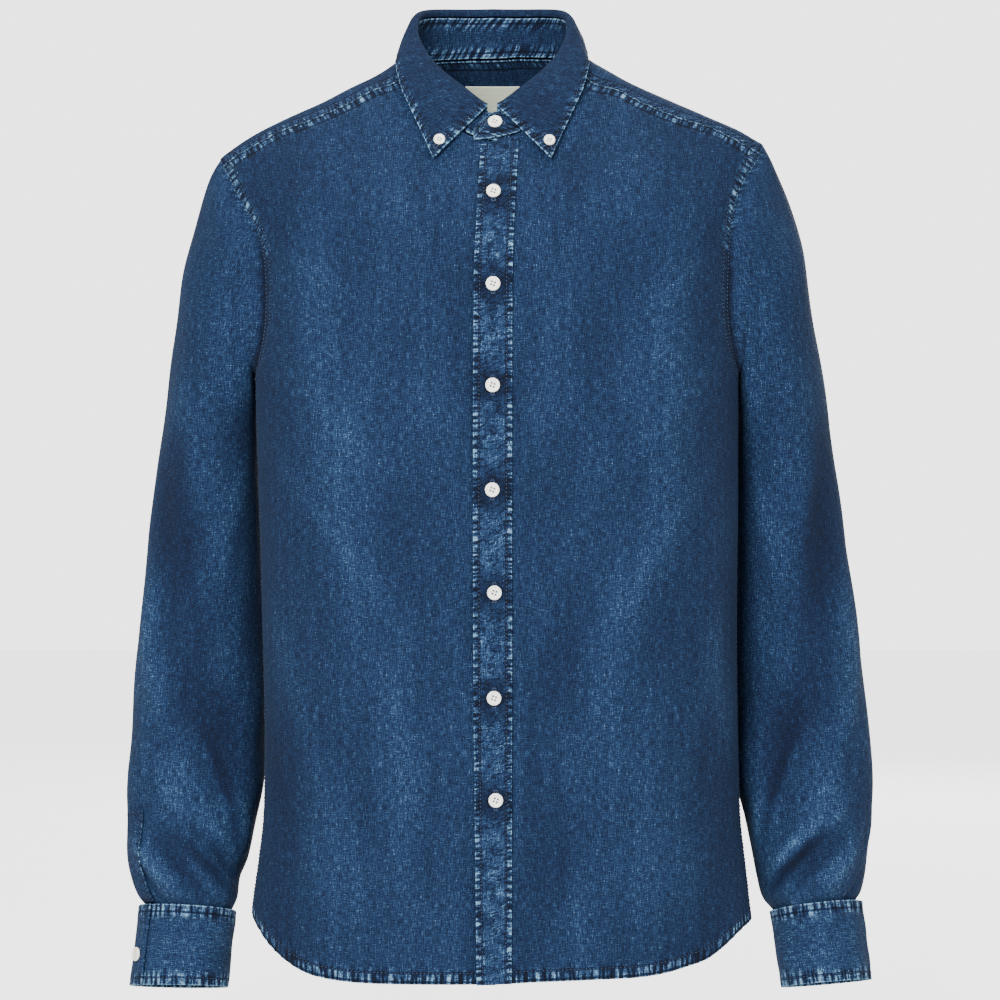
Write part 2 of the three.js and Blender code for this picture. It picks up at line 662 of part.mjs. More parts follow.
// Ring of the armhole: up the front edge, over the yoke and down the back edge, as places
// with the panel's own normal and the way across the seam into the hole.
function armholeRing(side) {
  const front = side < 0 ? frontRight : frontLeft;
  const backAcross = side < 0 ? 0 : 1;
  const ring = [];
  const put = (surface, across, down) => ring.push({
    place: surface(across, down),
    normal: surfaceNormal(surface, across, down),
  });
  for (let k = topRows; k >= 0; k -= 1) put(front, 1, panelRows[k]);
  for (let k = 1; k < yokeRows.length - 1; k += 1) put(yokeSurface, backAcross, yokeRows[k]);
  for (let k = 0; k < topRows; k += 1) put(backSurface, backAcross, panelRows[k]);
  const bodyMiddle = new THREE.Vector3(0, 0, -150);
  const ringMiddle = new THREE.Vector3();
  for (const knot of ring) ringMiddle.addScaledVector(knot.place, 1 / ring.length);
  ring.forEach((knot, i) => {
    const outward = knot.place.clone().sub(bodyMiddle);
    outward.x *= 0.2;
    if (outward.dot(knot.normal) < 0) knot.normal.negate();
    const before = ring[(i + ring.length - 1) % ring.length].place;
    const after = ring[(i + 1) % ring.length].place;
    knot.leaving = after.clone().sub(before).cross(knot.normal).normalize();
    if (knot.leaving.dot(ringMiddle.clone().sub(knot.place)) < 0) knot.leaving.negate();
  });
  return ring;
}

// Middle, outward way and depth way of a sleeve section at a share of the sleeve's length.
function sectionAt(rows, side, share) {
  const at = clamp(share, 0, 1) * (rows.length - 1);
  const numbered = keep(rows, () => rows.map((row, index) => ({ ...row, index })));
  const value = (column) => read(numbered, 'index', column, at);
  const outer = new THREE.Vector3(side * value('outX'), value('back'), value('outZ'));
  const inner = new THREE.Vector3(side * value('inX'), value('back'), value('inZ'));
  const depth = value('depth');
  return {
    middle: outer.clone().add(inner).multiplyScalar(0.5),
    outward: outer.sub(inner).multiplyScalar(0.5),
    forward: new THREE.Vector3(0, -depth, depth * value('rise')),
  };
}
const sectionPoint = (section, turn) => section.middle.clone()
  .addScaledVector(section.outward, Math.cos(turn))
  .addScaledVector(section.forward, Math.sin(turn));

// Sleeve on one side: round from the underarm up its front, down the sleeve to the cuff.
function sleeveSurface(side) {
  const rows = sleeveSections[side < 0 ? 'right' : 'left'];
  const ring = armholeRing(side);
  const count = ring.length;
  const first = sectionAt(rows, side, 0);
  const turns = ring.map(({ place }) => {
    const from = place.clone().sub(first.middle);
    const out = from.dot(first.outward) / first.outward.lengthSq();
    const forward = from.dot(first.forward) / first.forward.lengthSq();
    return Math.atan2(forward, out);
  });
  turns[0] = Math.PI;
  const offsets = ring.map(({ place, leaving }, i) =>
    place.clone().addScaledVector(leaving, 1.4 * seamGap).sub(sectionPoint(first, turns[i])));
  const surface = (across, down) => {
    const at = ((across % 1) + 1) % 1 * count;
    const i = Math.floor(at);
    const t = at - i;
    const next = (i + 1) % count;
    const nextTurn = next === 0 ? -Math.PI : turns[next];
    const ownTurn = mix(turns[i], nextTurn, t);
    const evenTurn = Math.PI * (1 - 2 * (at / count));
    const settled = ease(down / 0.5);
    const turn = mix(ownTurn, evenTurn, settled);
    const section = sectionAt(rows, side, down);
    const point = sectionPoint(section, turn);
    const stay = Math.pow(1 - clamp(down / 0.3, 0, 1), 2);
    point.addScaledVector(offsets[i].clone().lerp(offsets[next], t), stay);
    const degrees = (turn * 180) / Math.PI;
    let stand = 0;
    for (const fold of sleeveFolds) {
      const { fromTurn, fromZ, toTurn, toZ, half: width } = fold;
      stand += fold.stand * foldShare(fromTurn, fromZ, toTurn, toZ, width, degrees, point.z);
    }
    const way = point.clone().sub(section.middle).normalize();
    return point.addScaledVector(way, stand * (1 - ease((down - 0.9) / 0.05)));
  };
  return { surface, ring, turns };
}

const sectionMiddle = (side, share) =>
  sectionAt(sleeveSections[side < 0 ? 'right' : 'left'], side, share).middle;

const sleeveRows = 27;
function addSleeve(name, side) {
  const sleeve = sleeveSurface(side);
  const { surface, ring } = sleeve;
  const down = shares(sleeveRows);
  const columns = ring.length;
  const points = down.map((share) => ring.map((_, j) => surface(j / columns, share)));
  const normals = down.map((share, i) => ring.map((knot, j) => {
    if (i === 0) return knot.normal.clone();
    const along = surface(j / columns, share + 0.01).sub(surface(j / columns, share - 0.01));
    if (share > 0.985) {
      along.copy(surface(j / columns, 1).sub(surface(j / columns, 0.97)));
    }
    const round = surface((j + 0.5) / columns, share).sub(surface((j - 0.5) / columns, share));
    const normal = round.cross(along).normalize();
    const outward = surface(j / columns, share).sub(sectionMiddle(side, share));
    return outward.dot(normal) < 0 ? normal.negate() : normal;
  }));
  addPiece(name, wallGeometry(points, normals, clothWall, true), cloth);
  return sleeve;
}

const sleeveRight = addSleeve('sleeve_right', -1);
const sleeveLeft = addSleeve('sleeve_left', 1);

// Cuff: a band wound round the wrist once and lapped over its own end by the opening.
const cuffLap = 38;
const lapStep = cuffWall + seamGap + 0.35;
function cuffSurface(side, edgeTurn, windsBack) {
  const rows = cuffRings[side < 0 ? 'right' : 'left'];
  const way = windsBack ? -1 : 1;
  return (across, down) => {
    const wound = across * (360 + cuffLap);
    const turn = radians(edgeTurn + way * wound);
    const section = sectionAt(rows, side, down);
    const point = sectionPoint(section, turn);
    const lapped = 1 - ease((wound - cuffLap - 3) / 22);
    const outward = point.clone().sub(section.middle).normalize();
    return point.addScaledVector(outward, lapStep * lapped);
  };
}
const cuffRight = cuffSurface(-1, 44, true);
const cuffLeft = cuffSurface(1, -44, false);
addCloth('cuff_right', cuffRight, shares(30), shares(3), cuffWall, {}, 1);
addCloth('cuff_left', cuffLeft, shares(30), shares(3), cuffWall, {}, 1);

// Button band down the left front: from just under the neck seam to the hem.
const bandLift = overlapStep + bandStep;
const bandTopShare = halve(0.1, 0.36, (share) => {
  const z = rowHeight(8, share, false);
  return z < -62;
});
const panelBandRows = [bandTopShare, ...panelRows.filter((row) => row > bandTopShare + 0.02)];
function bandSurface(across, down) {
  const place = rowHeight(0, down, false);
  const start = read(bandEdges, 'height', 'start', place);
  const x = mix(start, read(bandEdges, 'height', 'end', place), across);
  const around = 180 - (Math.asin((x - neckMiddle) / neckHalfWidth) * 180) / Math.PI;
  const seam = neckPlace(around).z - 2.2;
  const point = bodyPoint(x, Math.min(seam, rowHeight(x, down, false)), false);
  point.y -= bandLift;
  return point;
}

// Collar stand: from the neck seam up to the fold, its left end lapped over its right end.
const standTurn = { start: -191, end: 191 };
const rollHeight = 6;
const foldPlace = (around) => new THREE.Vector3(
  neckMiddle + foldHalfWidth * Math.sin(radians(around)),
  5 + foldHalfDepth * Math.cos(radians(around)),
  read(collarFold, 'around', 'height', Math.abs(around)),
);
function neckPoint(around) {
  const place = neckPlace(around);
  return bodyPoint(place.x, place.z, place.back);
}
function lapShift(around) {
  const lap = ease((Math.abs(around) - 140) / 30);
  return lap * (around > 0 ? 2.1 + 1.6 * ease((around - 170) / 15) : -0.4);
}
const outwardAt = (around) => new THREE.Vector3(
  Math.sin(radians(around)), Math.cos(radians(around)), 0);
function standSurface(across, down) {
  const around = mix(standTurn.start, standTurn.end, across);
  const foot = neckPoint(around);
  const fold = foldPlace(around);
  const rise = fold.clone().sub(foot);
  const tall = rise.length();
  rise.normalize();
  const end = clamp((Math.abs(around) - 176) / 15, 0, 1);
  const corner = Math.sqrt(1 - 0.72 * end * end);
  const clear = 2.2 + 2 * ease((around - 160) / 15);
  const height = mix((tall - rollHeight - 1.4) * corner, clear, down);
  const bow = 1.6 * Math.sin(Math.PI * (1 - down));
  return foot.addScaledVector(rise, height)
    .addScaledVector(outwardAt(around), lapShift(around) + bow);
}
const standColumns = shares(34);
addCloth('collar_stand', standSurface, standColumns, shares(4), standWall, {}, 1);

// Collar leaf: up from the stand, rolled over the fold and down to its free edge.
const leafTurn = 176.5;
const leafRoll = [
  { along: 0, up: -rollHeight + 0.1, out: 0 },
  { along: 1, up: -2.8, out: 0.3 },
  { along: 2, up: -0.4, out: 1.9 },
  { along: 3, up: -0.3, out: 4.4 },
  { along: 4, up: -3, out: 6.2 },
];
function leafSurface(across, down) {
  const around = mix(-leafTurn, leafTurn, across);
  const foot = neckPoint(around);
  const fold = foldPlace(around).addScaledVector(outwardAt(around), lapShift(around));
  const up = fold.clone().sub(foot).normalize();
  const outward = outwardAt(around);
  const rollShare = 0.4;
  const along = clamp(down / rollShare, 0, 1) * 4;
  const rolled = fold.clone()
    .addScaledVector(up, read(leafRoll, 'along', 'up', along))
    .addScaledVector(outward, read(leafRoll, 'along', 'out', along));
  if (down <= rollShare) return rolled;
  const turn = (Math.abs(around) * 177) / leafTurn;
  const edge = new THREE.Vector3(
    neckMiddle + Math.sign(around) * read(collarEdge, 'around', 'out', turn),
    read(collarEdge, 'around', 'back', turn),
    read(collarEdge, 'around', 'height', turn),
  );
  const share = (down - rollShare) / (1 - rollShare);
  const bulge = 2.4 * Math.sin(Math.PI * share);
  return rolled.lerp(edge, share).addScaledVector(outward, bulge);
}
const leafRows = [0, 0.1, 0.2, 0.3, 0.4, 0.55, 0.7, 0.85, 1];
addCloth('collar_leaf', leafSurface, shares(34), leafRows, leafWall, {}, 1);

// Plain label inside the back of the neck, laid on the yoke's inner face.
const labelWall = 0.8;
function bodyNormal(x, z, back) {
  const a = bodyPoint(x + 0.5, z, back).sub(bodyPoint(x - 0.5, z, back));
  const b = bodyPoint(x, z + 0.5, back).sub(bodyPoint(x, z - 0.5, back));
  const normal = a.cross(b).normalize();
  const outward = back ? 1 : -1;
  return normal.y * outward < 0 ? normal.negate() : normal;
}
function labelSurface(across, down) {
  const x = neckMiddle + mix(-23, 23, across);
  const z = mix(0, -30, down);
  const place = bodyPoint(x, z, true);
  const normal = bodyNormal(x, z, true);
  return place.addScaledVector(normal, -(clothWall / 2 + labelWall / 2 + 0.75));
}
const neckLabel = addCloth('neck_label', labelSurface, shares(3), shares(3), labelWall, {}, 1);
neckLabel.material = label;

// Button band on the left front.
addCloth('front_band', bandSurface, shares(3), panelBandRows, bandWall, {}, -1);

// Sleeve placket: a strip over the slit above each cuff, made from the sleeve's own points.
const placketLift = 2.4;
function surfaceNormalOpen(surface, across, down) {
  const a = surface(across + 0.01, down).sub(surface(across - 0.01, down));
  const b = surface(across, down + 0.01).sub(surface(across, down - 0.01));
  return a.cross(b).normalize();
}
function placketSurface(sleeve, side, middleTurn) {
  const acrossAt = (turn) => (Math.PI - radians(turn)) / (2 * Math.PI);
  return (across, down) => {
    const share = mix(0.715, 0.915, down);
    const turn = middleTurn + mix(-12, 12, across);
    const pass = acrossAt(turn);
    const point = sleeve.surface(pass, share);
    const normal = surfaceNormalOpen(sleeve.surface, pass, share);
    if (normal.dot(point.clone().sub(sectionMiddle(side, share))) < 0) normal.negate();
    return point.addScaledVector(normal, placketLift);
  };
}
const placketRight = placketSurface(sleeveRight, -1, 36);
const placketLeft = placketSurface(sleeveLeft, 1, -36);
addCloth('sleeve_placket_right', placketRight, shares(3), shares(9), 1.4, {}, 1);
addCloth('sleeve_placket_left', placketLeft, shares(3), shares(9), 1.4, {}, 1);

// Buttons: a turned disc with a raised rim, set down on a surface where it is wanted.
function buttonGeometry(across) {
  const radius = across / 2;
  const profile = [
    [0, 0], [radius * 0.86, 0], [radius, buttonThick * 0.4], [radius * 0.94, buttonThick],
    [radius * 0.74, buttonThick * 0.94], [radius * 0.62, buttonThick * 0.66], [0, buttonThick * 0.66],
  ].map(([out, up]) => new THREE.Vector2(out, up));
  return new THREE.LatheGeometry(profile, 14);
}
function addButton(name, surface, wall, across, found, outwardHint) {
  const point = surface(found.across, found.down);
  const normal = surfaceNormal(surface, found.across, found.down, 0.02);
  if (normal.dot(outwardHint) < 0) normal.negate();
  const mesh = addPiece(name, buttonGeometry(across), button);
  mesh.quaternion.setFromUnitVectors(new THREE.Vector3(0, 1, 0), normal);
  mesh.position.copy(point).addScaledVector(normal, wall / 2 + seamGap + 0.15);
  return mesh;
}
// Shares of a surface that come nearest a wanted width and height, seen from the front.
function findShares(surface, x, z, start) {
  let best = { ...start, off: Infinity };
  let span = { across: 0.5, down: 0.5 };
  for (let round = 0; round < 7; round += 1) {
    const from = { ...best };
    for (let i = -6; i <= 6; i += 1) {
      for (let j = -6; j <= 6; j += 1) {
        const across = clamp(from.across + (span.across * i) / 6, start.low, start.high);
        const down = clamp(from.down + (span.down * j) / 6, start.top, 1);
        const point = surface(across, down);
        const off = Math.hypot(point.x - x, point.z - z);
        if (off < best.off) best = { across, down, off };
      }
    }
    span = { across: span.across * 0.35, down: span.down * 0.35 };
  }
  return best;
}

const frontward = new THREE.Vector3(0, -1, 0.1);
const bandButtons = [
  { name: 'button_1', x: -1.9, z: -104.2 },
  { name: 'button_2', x: -2.2, z: -178 },
  { name: 'button_3', x: -2.5, z: -258 },
  { name: 'button_4', x: -2.8, z: -340.5 },
  { name: 'button_5', x: -1.1, z: -421.5 },
  { name: 'button_6', x: -1.4, z: -504.5 },
  { name: 'button_7', x: 0, z: -585 },
];
for (const { name, x, z } of bandButtons) {
  const found = findShares(bandSurface, x, z, { across: 0.5, down: 0.5, low: 0, high: 1, top: 0 });
  addButton(name, bandSurface, bandWall, buttonAcross, found, frontward);
}
const standFound = findShares(standSurface, -0.6, -46.5,
  { across: 0.97, down: 0.5, low: 0.93, high: 1, top: 0 });
addButton('button_stand', standSurface, standWall, buttonAcross, standFound, frontward);
const rightPoint = findShares(leafSurface, -45, -61.5,
  { across: 0.03, down: 0.8, low: 0, high: 0.2, top: 0.5 });
addButton('button_collar_right', leafSurface, leafWall, smallButtonAcross, rightPoint, frontward);
const leftPoint = findShares(leafSurface, 42.5, -62,
  { across: 0.97, down: 0.8, low: 0.8, high: 1, top: 0.5 });
addButton('button_collar_left', leafSurface, leafWall, smallButtonAcross, leftPoint, frontward);
const cuffButtonAcross = 14 / (360 + cuffLap);
addButton('button_cuff_right', cuffRight, cuffWall, buttonAcross,
  { across: cuffButtonAcross, down: 0.62 }, new THREE.Vector3(-1, -0.7, 0));
addButton('button_cuff_left', cuffLeft, cuffWall, buttonAcross,
  { across: cuffButtonAcross, down: 0.62 }, new THREE.Vector3(1, 0.7, 0));

export default shirt;
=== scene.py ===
import bpy
import numpy as np
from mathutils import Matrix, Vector


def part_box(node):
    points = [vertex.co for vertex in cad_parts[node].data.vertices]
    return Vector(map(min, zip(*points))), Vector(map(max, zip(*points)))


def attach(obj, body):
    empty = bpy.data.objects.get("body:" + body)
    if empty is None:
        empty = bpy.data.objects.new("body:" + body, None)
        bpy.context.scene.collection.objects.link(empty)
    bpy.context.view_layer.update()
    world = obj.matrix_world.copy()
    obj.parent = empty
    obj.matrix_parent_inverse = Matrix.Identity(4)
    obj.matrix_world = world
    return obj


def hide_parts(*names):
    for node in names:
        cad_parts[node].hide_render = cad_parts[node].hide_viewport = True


# A denim shirt, buttoned and filled out as if worn. Every cut piece is its own thin wall of
# cloth. Shapes are worked out in millimetres and put into the meshes in metres.
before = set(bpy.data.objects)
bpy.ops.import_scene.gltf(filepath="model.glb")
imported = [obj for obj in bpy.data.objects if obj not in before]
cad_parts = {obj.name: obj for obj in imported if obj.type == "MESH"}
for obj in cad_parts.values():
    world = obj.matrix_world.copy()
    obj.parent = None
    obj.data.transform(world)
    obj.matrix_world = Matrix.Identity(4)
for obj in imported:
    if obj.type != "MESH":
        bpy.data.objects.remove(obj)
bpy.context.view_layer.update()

# Measured lines of the garment, one row a place. Right and left are the shirt's own.
# out from the middle, height of the shoulder ridge on the right, on the left
shoulderRidge = [
    (0, 48, 48), (20, 46, 46), (40, 39, 38), (60, 27, 25.5), (76, 14, 11.5), (92, 3, 2.5),
    (116, -10, -10), (145, -24, -23), (171, -36.5, -34), (196, -49, -45), (212, -58.5, -54),
    (226, -70, -63), (242, -88, -78)]
# height, depth in front, depth behind
bodyDepth = [
    (60, 50, 104), (12, 50, 105), (-14, 55, 105), (-35, 62, 105), (-62, 71, 108), (-110, 95, 112),
    (-160, 107, 115), (-250, 114, 113), (-400, 116, 106), (-520, 114, 104), (-650, 112, 108),
    (-740, 111, 110)]
# height, half width right, left
bodyHalfWidth = [
    (60, 236, 232), (-59, 233, 226), (-70, 232, 221), (-101, 216, 205), (-132, 201, 199),
    (-180, 195.5, 197), (-250, 196, 197.5), (-320, 194, 197), (-400, 191.5, 196.5),
    (-520, 188.6, 196.5), (-575, 188.6, 198), (-611, 189.6, 199.5), (-644, 193.5, 203),
    (-677, 198.2, 206.6), (-700, 200, 209), (-740, 202, 212)]
# height, armhole edge out: front right, back right, front left, back left
armhole = [
    (-50, 228, 228, 221, 221), (-59, 227, 227, 218, 218.5), (-70, 225.5, 225.5, 213.5, 215.5),
    (-85, 217.5, 218.5, 203.5, 208), (-101, 209, 211, 195.5, 199.7), (-118, 199, 202.5, 191.5, 194.7),
    (-132, 192, 195.5, 189.5, 191.9), (-155, 187, 190.5, 188, 190.2), (-185, 185.5, 188.2, 187, 189.2),
    (-208, 186.5, 188.6, 188, 189.6), (-228, 190, 190.8, 191.5, 191.8),
    (-241, 193.6, 194.2, 195.2, 195.6), (-250, 196, 196, 197.5, 197.5)]
# out, height of the hem right, left
hemCurve = [
    (0, -731, -730.5), (75, -731.5, -728), (110, -731, -727), (133, -729, -724.5), (152, -725, -720),
    (169, -716.5, -715), (183, -705, -706), (193, -693, -698), (200, -685, -693), (210, -682, -689)]
# height, left and right edge of the button band
bandEdges = [
    (-50, -11.5, 18.5), (-64, -12, 18), (-130, -15.7, 14.4), (-170, -17.2, 13.2), (-300, -18, 12.8),
    (-500, -17.5, 12.8), (-740, -15, 12.4)]
# out, how far the yoke comes down in front
yokeReach = [(60, 20), (80, 20), (100, 14.5), (120, 15), (150, 13.5), (176, 10), (200, 11), (228, 8.5)]
# turn round the neck from the back, height of the neck seam
neckSeamFront = [(90, 17), (105, 10), (120, -1), (135, -21), (150, -42), (165, -56), (180, -62), (200, -64)]
# turn, height of the collar's fold
collarFold = [
    (0, 62), (45, 59.5), (72, 54), (90, 43), (113, 23), (128, 9), (145, -5), (158, -15), (171, -26),
    (180, -31), (200, -36)]
# turn, free edge of the collar: out, back, height
collarEdge = [
    (0, 0, 72.5, 11.2), (30, 37, 65, 12.5), (60, 65, 44, 13.2), (80, 75, 20, 15.4), (98, 77.5, -8, 13.5),
    (112, 78, -31, 4), (126, 74, -46, -14), (141, 66.5, -58, -32), (157, 57, -70.5, -53),
    (177, 47, -83, -76)]
# sections down the sleeve: outer x and z, inner x and z, back, half depth, rise of the front
sleeveSections = {
    "right": [
        (225.5, -70, 196, -250, 0, 50, 0), (234.5, -86, 201, -246.5, 4, 54, 0),
        (246, -118, 198, -253, 13, 57, 0), (254.5, -152, 197, -268, 19, 58, 0),
        (260.5, -184.5, 197.6, -282, 25, 58, 0), (266, -218, 197, -299, 30, 58, 0),
        (270.5, -250, 196.3, -318, 34, 57.5, 0), (277, -296, 195.3, -348, 38, 57, 0),
        (284.5, -350, 193.8, -388, 41, 56, 0.02), (291, -414, 191.4, -438, 42, 55, 0.05),
        (297, -480, 190, -492, 40, 54, 0.09), (302.5, -545, 191, -548, 34, 52, 0.13),
        (305, -582, 192.5, -582, 24, 50, 0.15), (304, -612, 198.5, -612, 19, 48, 0.17),
        (303, -640, 204.5, -640, 13, 45.5, 0.19), (299, -659, 211, -657, 9, 43, 0.2),
        (293.5, -673, 213, -674, 6, 39, 0.2), (286, -683, 218.2, -687, 5, 31.8, 0.2),
        (286, -694, 218.6, -698, 5, 31.2, 0.2)],
    "left": [
        (218, -59, 197.5, -250, 0, 50, 0), (227.5, -75, 202.5, -246.5, 4, 54, 0),
        (241, -104, 199.4, -253, 13, 57, 0), (251.5, -138, 198.6, -268, 19, 58, 0),
        (257.5, -172, 199.5, -282, 25, 58, 0), (264, -212, 199, -299, 30, 58, 0),
        (269.5, -246, 198.6, -318, 34, 57.5, 0), (277.5, -294, 198.2, -348, 38, 57, 0),
        (285.5, -350, 197.8, -388, 41, 56, 0.02), (293.5, -414, 197.2, -438, 42, 55, 0.05),
        (302, -480, 197, -492, 40, 54, 0.09), (309, -545, 198.5, -548, 34, 52, 0.13),
        (311, -580, 199.5, -582, 24, 50, 0.15), (309.5, -610, 206, -610, 19, 48, 0.17),
        (305.5, -637, 211.5, -638, 13, 45.5, 0.19), (303, -656, 215, -657, 9, 43, 0.2),
        (299.5, -670, 219.5, -674, 6, 39, 0.2), (294, -679, 229.8, -687, 5, 31.8, 0.2),
        (294.4, -690, 231.4, -698, 5, 31.2, 0.2)]}
cuffRings = {
    "right": [(289.7, -682, 214.2, -686, 5, 35.5, 0.2), (297, -747, 220.5, -748, 1, 36.5, 0.17)],
    "left": [(297.8, -678, 225.8, -686, 5, 35.5, 0.2), (305.5, -742, 234.8, -748, 1, 36.5, 0.17)]}
# roll of the collar leaf over its fold: step, up, out
leafRoll = [(0, -5.9, 0), (1, -2.8, 0.3), (2, -0.4, 1.9), (3, -0.3, 4.4), (4, -3, 6.2)]
# largest soft folds: on the back or not, from x z, to x z, half width, how far it stands out
bodyFolds = [
    (False, -150, -120, -120, -420, 20, 3), (False, 150, -130, 128, -400, 20, 3),
    (False, 176, -430, 186, -560, 11, 4), (False, -80, -470, -64, -720, 18, 2.5),
    (False, 40, -460, 54, -722, 13, -2.5), (False, 96, -420, 80, -700, 18, 2.5),
    (True, -120, -150, -60, -420, 24, 4), (True, 125, -150, 70, -430, 24, 4),
    (True, -30, -380, -45, -700, 22, 3.5), (True, 60, -420, 75, -700, 20, -3)]
# sleeve folds: from turn and height, to turn and height, half width, how far it stands out
sleeveFolds = [
    (28, -285, 75, -480, 20, -4.5), (75, -480, 128, -590, 18.8, -5), (20, -400, 52, -560, 20, 3.5),
    (60, -618, 118, -668, 11.2, -4.5), (35, -622, 88, -674, 11.2, 4), (130, -585, 165, -640, 12.5, 4),
    (-40, -330, -100, -480, 22.5, -4), (-60, -560, -120, -650, 15, 4), (-20, -610, -70, -666, 12.5, -4)]

neckMiddle, neckHalfWidth = -3, 75
foldHalfWidth, foldHalfDepth = 60.5, 55
underarmHeight, backSeamHeight = -250, -84
frontReach, backReach = 100, 150
bodyRoundness = 2.5
underarmShare = 0.36
yokeNeckStart, yokeNeckSpread = 0.34, 100
clothThick = 1.2


def smoothRead(table, column, at):
    # cubic pieces through the rows, whose slopes come from each row's two neighbours
    keys = np.array([row[0] for row in table], float)
    values = np.array([row[column] for row in table], float)
    if keys[0] > keys[-1]:
        keys, values = keys[::-1], values[::-1]
    at = np.clip(np.asarray(at, float), keys[0], keys[-1])
    i = np.clip(np.searchsorted(keys, at, side="right") - 1, 0, len(keys) - 2)
    before, after = np.maximum(i - 1, 0), np.minimum(i + 2, len(keys) - 1)
    gap = keys[i + 1] - keys[i]
    t = (at - keys[i]) / gap
    startSlope = (values[i + 1] - values[before]) / (keys[i + 1] - keys[before]) * gap
    endSlope = (values[after] - values[i]) / (keys[after] - keys[i]) * gap
    square, cube = t * t, t * t * t
    return (values[i] * (2 * cube - 3 * square + 1) + startSlope * (cube - 2 * square + t)
            + values[i + 1] * (3 * square - 2 * cube) + endSlope * (cube - square))


def mix(a, b, share):
    # straight from a to b
    return a + (b - a) * share


def ease(share):
    # from nothing to one with level ends: three squares less two cubes
    t = np.clip(share, 0, 1)
    return t * t * (3 - 2 * t)


def readSide(table, x, at):
    # the right column where x is below zero, else the left one
    return np.where(np.asarray(x) < 0, smoothRead(table, 1, at), smoothRead(table, 2, at))


def ridgeHeight(x):
    return readSide(shoulderRidge, x, np.abs(x))


def halfWidth(x, z):
    return readSide(bodyHalfWidth, x, z)


def hemHeight(x):
    return readSide(hemCurve, x, np.abs(x))


def frontTop(x):
    # height of the yoke's front seam
    return ridgeHeight(x) - smoothRead(yokeReach, 1, np.abs(x))


def armholeOut(side, z, back):
    # how far out the armhole's edge is at a height
    return smoothRead(armhole, (1 if side < 0 else 3) + (1 if back else 0), z)


def foldShare(fold, across, down):
    # bell-shaped across the line from its start to its end, and fading towards both ends
    startA, startD, endA, endD, half = fold
    runA, runD = endA - startA, endD - startD
    t = ((across - startA) * runA + (down - startD) * runD) / (runA * runA + runD * runD)
    near = np.clip(t, 0, 1)
    off = np.hypot(across - startA - runA * near, down - startD - runD * near) / half
    return np.exp(-off * off) * np.sin(np.pi * np.clip(t * 0.86 + 0.07, 0, 1))


def bodyPoint(x, z, back):
    # depth times a rounded section across, run in to nothing at the shoulder ridge
    x, z, back = np.broadcast_arrays(np.asarray(x, float), np.asarray(z, float), np.asarray(back))
    reach = np.where(back, backReach, frontReach)
    t = np.clip((ridgeHeight(x) - z) / reach, 0, 1)
    rise = np.sqrt(np.maximum(0, 1 - (1 - t) ** 2))
    share = np.minimum(1, np.abs(x) / halfWidth(x, z))
    section = (1 - share ** bodyRoundness) ** (1 / bodyRoundness)
    deep = np.where(back, smoothRead(bodyDepth, 2, z), smoothRead(bodyDepth, 1, z))
    for behind, *line, stand in bodyFolds:
        deep = deep + np.where(back == behind, stand * foldShare(line, x, z), 0)
    y = deep * section * rise
    return np.stack([x, np.where(back, y, -y), z], axis=-1)


def neckPlace(around):
    # place on the neck seam at a turn round the neck in degrees, minus towards the right
    around = np.asarray(around, float)
    turn = np.abs(around)
    x = neckMiddle + neckHalfWidth * np.sin(np.radians(around))
    back = turn < 90
    lean = np.radians(36.2) * np.cos(np.radians(turn))
    ridge = ridgeHeight(x)
    z = np.where(back, ridge - backReach * (1 - np.cos(lean)),
                 np.minimum(ridge, smoothRead(neckSeamFront, 1, turn)))
    return x, z, back


def halve(low, high, test):
    # the place where a test turns true, by halving the span
    for _ in range(26):
        middle = (low + high) / 2
        found = test(middle)
        low, high = np.where(found, low, middle), np.where(found, middle, high)
    return (low + high) / 2


def evenRows(points, shares):
    # each row of points spread evenly by its own length, read at the wanted shares
    steps = np.linalg.norm(np.diff(points, axis=1), axis=2)
    lengths = np.concatenate([np.zeros((len(points), 1)), np.cumsum(steps, axis=1)], axis=1)
    wanted = lengths[:, -1:] * np.clip(shares, 0, 1)[None, :]
    i = (lengths[:, None, 1:-1] <= wanted[:, :, None]).sum(axis=2)
    row = np.arange(len(points))[:, None]
    t = (wanted - lengths[row, i]) / np.maximum(1e-9, lengths[row, i + 1] - lengths[row, i])
    return mix(points[row, i], points[row, i + 1], t[..., None])


def rowHeight(x, share, back):
    # height of a row: straight from the top to the underarm, then straight to the hem
    top = backSeamHeight if back else frontTop(x)
    upper = mix(top, underarmHeight, share / underarmShare)
    lower = mix(underarmHeight, hemHeight(x), (share - underarmShare) / (1 - underarmShare))
    return np.where(share <= underarmShare, upper, lower)


def rowEnd(side, down, back):
    # how far out a row runs: to the armhole's edge, or to the side seam below it
    def past(out):
        z = rowHeight(side * out, down, back)
        edge = np.where(down < underarmShare, armholeOut(side, z, back), halfWidth(side, z))
        return out > edge
    return halve(np.full(down.shape, 150.0), np.full(down.shape, 240.0), past)


def rowStart(side, down, edge):
    # how far out a row starts: on the neck seam, or on the front edge below it
    highTurn = halve(150.0, 210.0, lambda turn: side * (neckPlace(side * turn)[0] - edge(-64)) < 0)

    def above(turn):
        x, z, _ = neckPlace(side * turn)
        return z < rowHeight(x, down, False)
    high = np.full(down.shape, float(highTurn))
    onNeck = neckPlace(side * halve(np.full(down.shape, 100.0), high, above))[0]
    return np.where(above(high), onNeck, edge(rowHeight(np.zeros(down.shape), down, False)))


overlapStep, bandStep = 2.6, 1.95


def rightEdge(z):
    return smoothRead(bandEdges, 2, z) - 2


def leftEdge(z):
    return smoothRead(bandEdges, 1, z) + 1


def overlapLift(x, z):
    # the left front steps out over the right one and comes back beyond the band
    return overlapStep * ease((smoothRead(bandEdges, 2, z) + 18 - x) / 15)


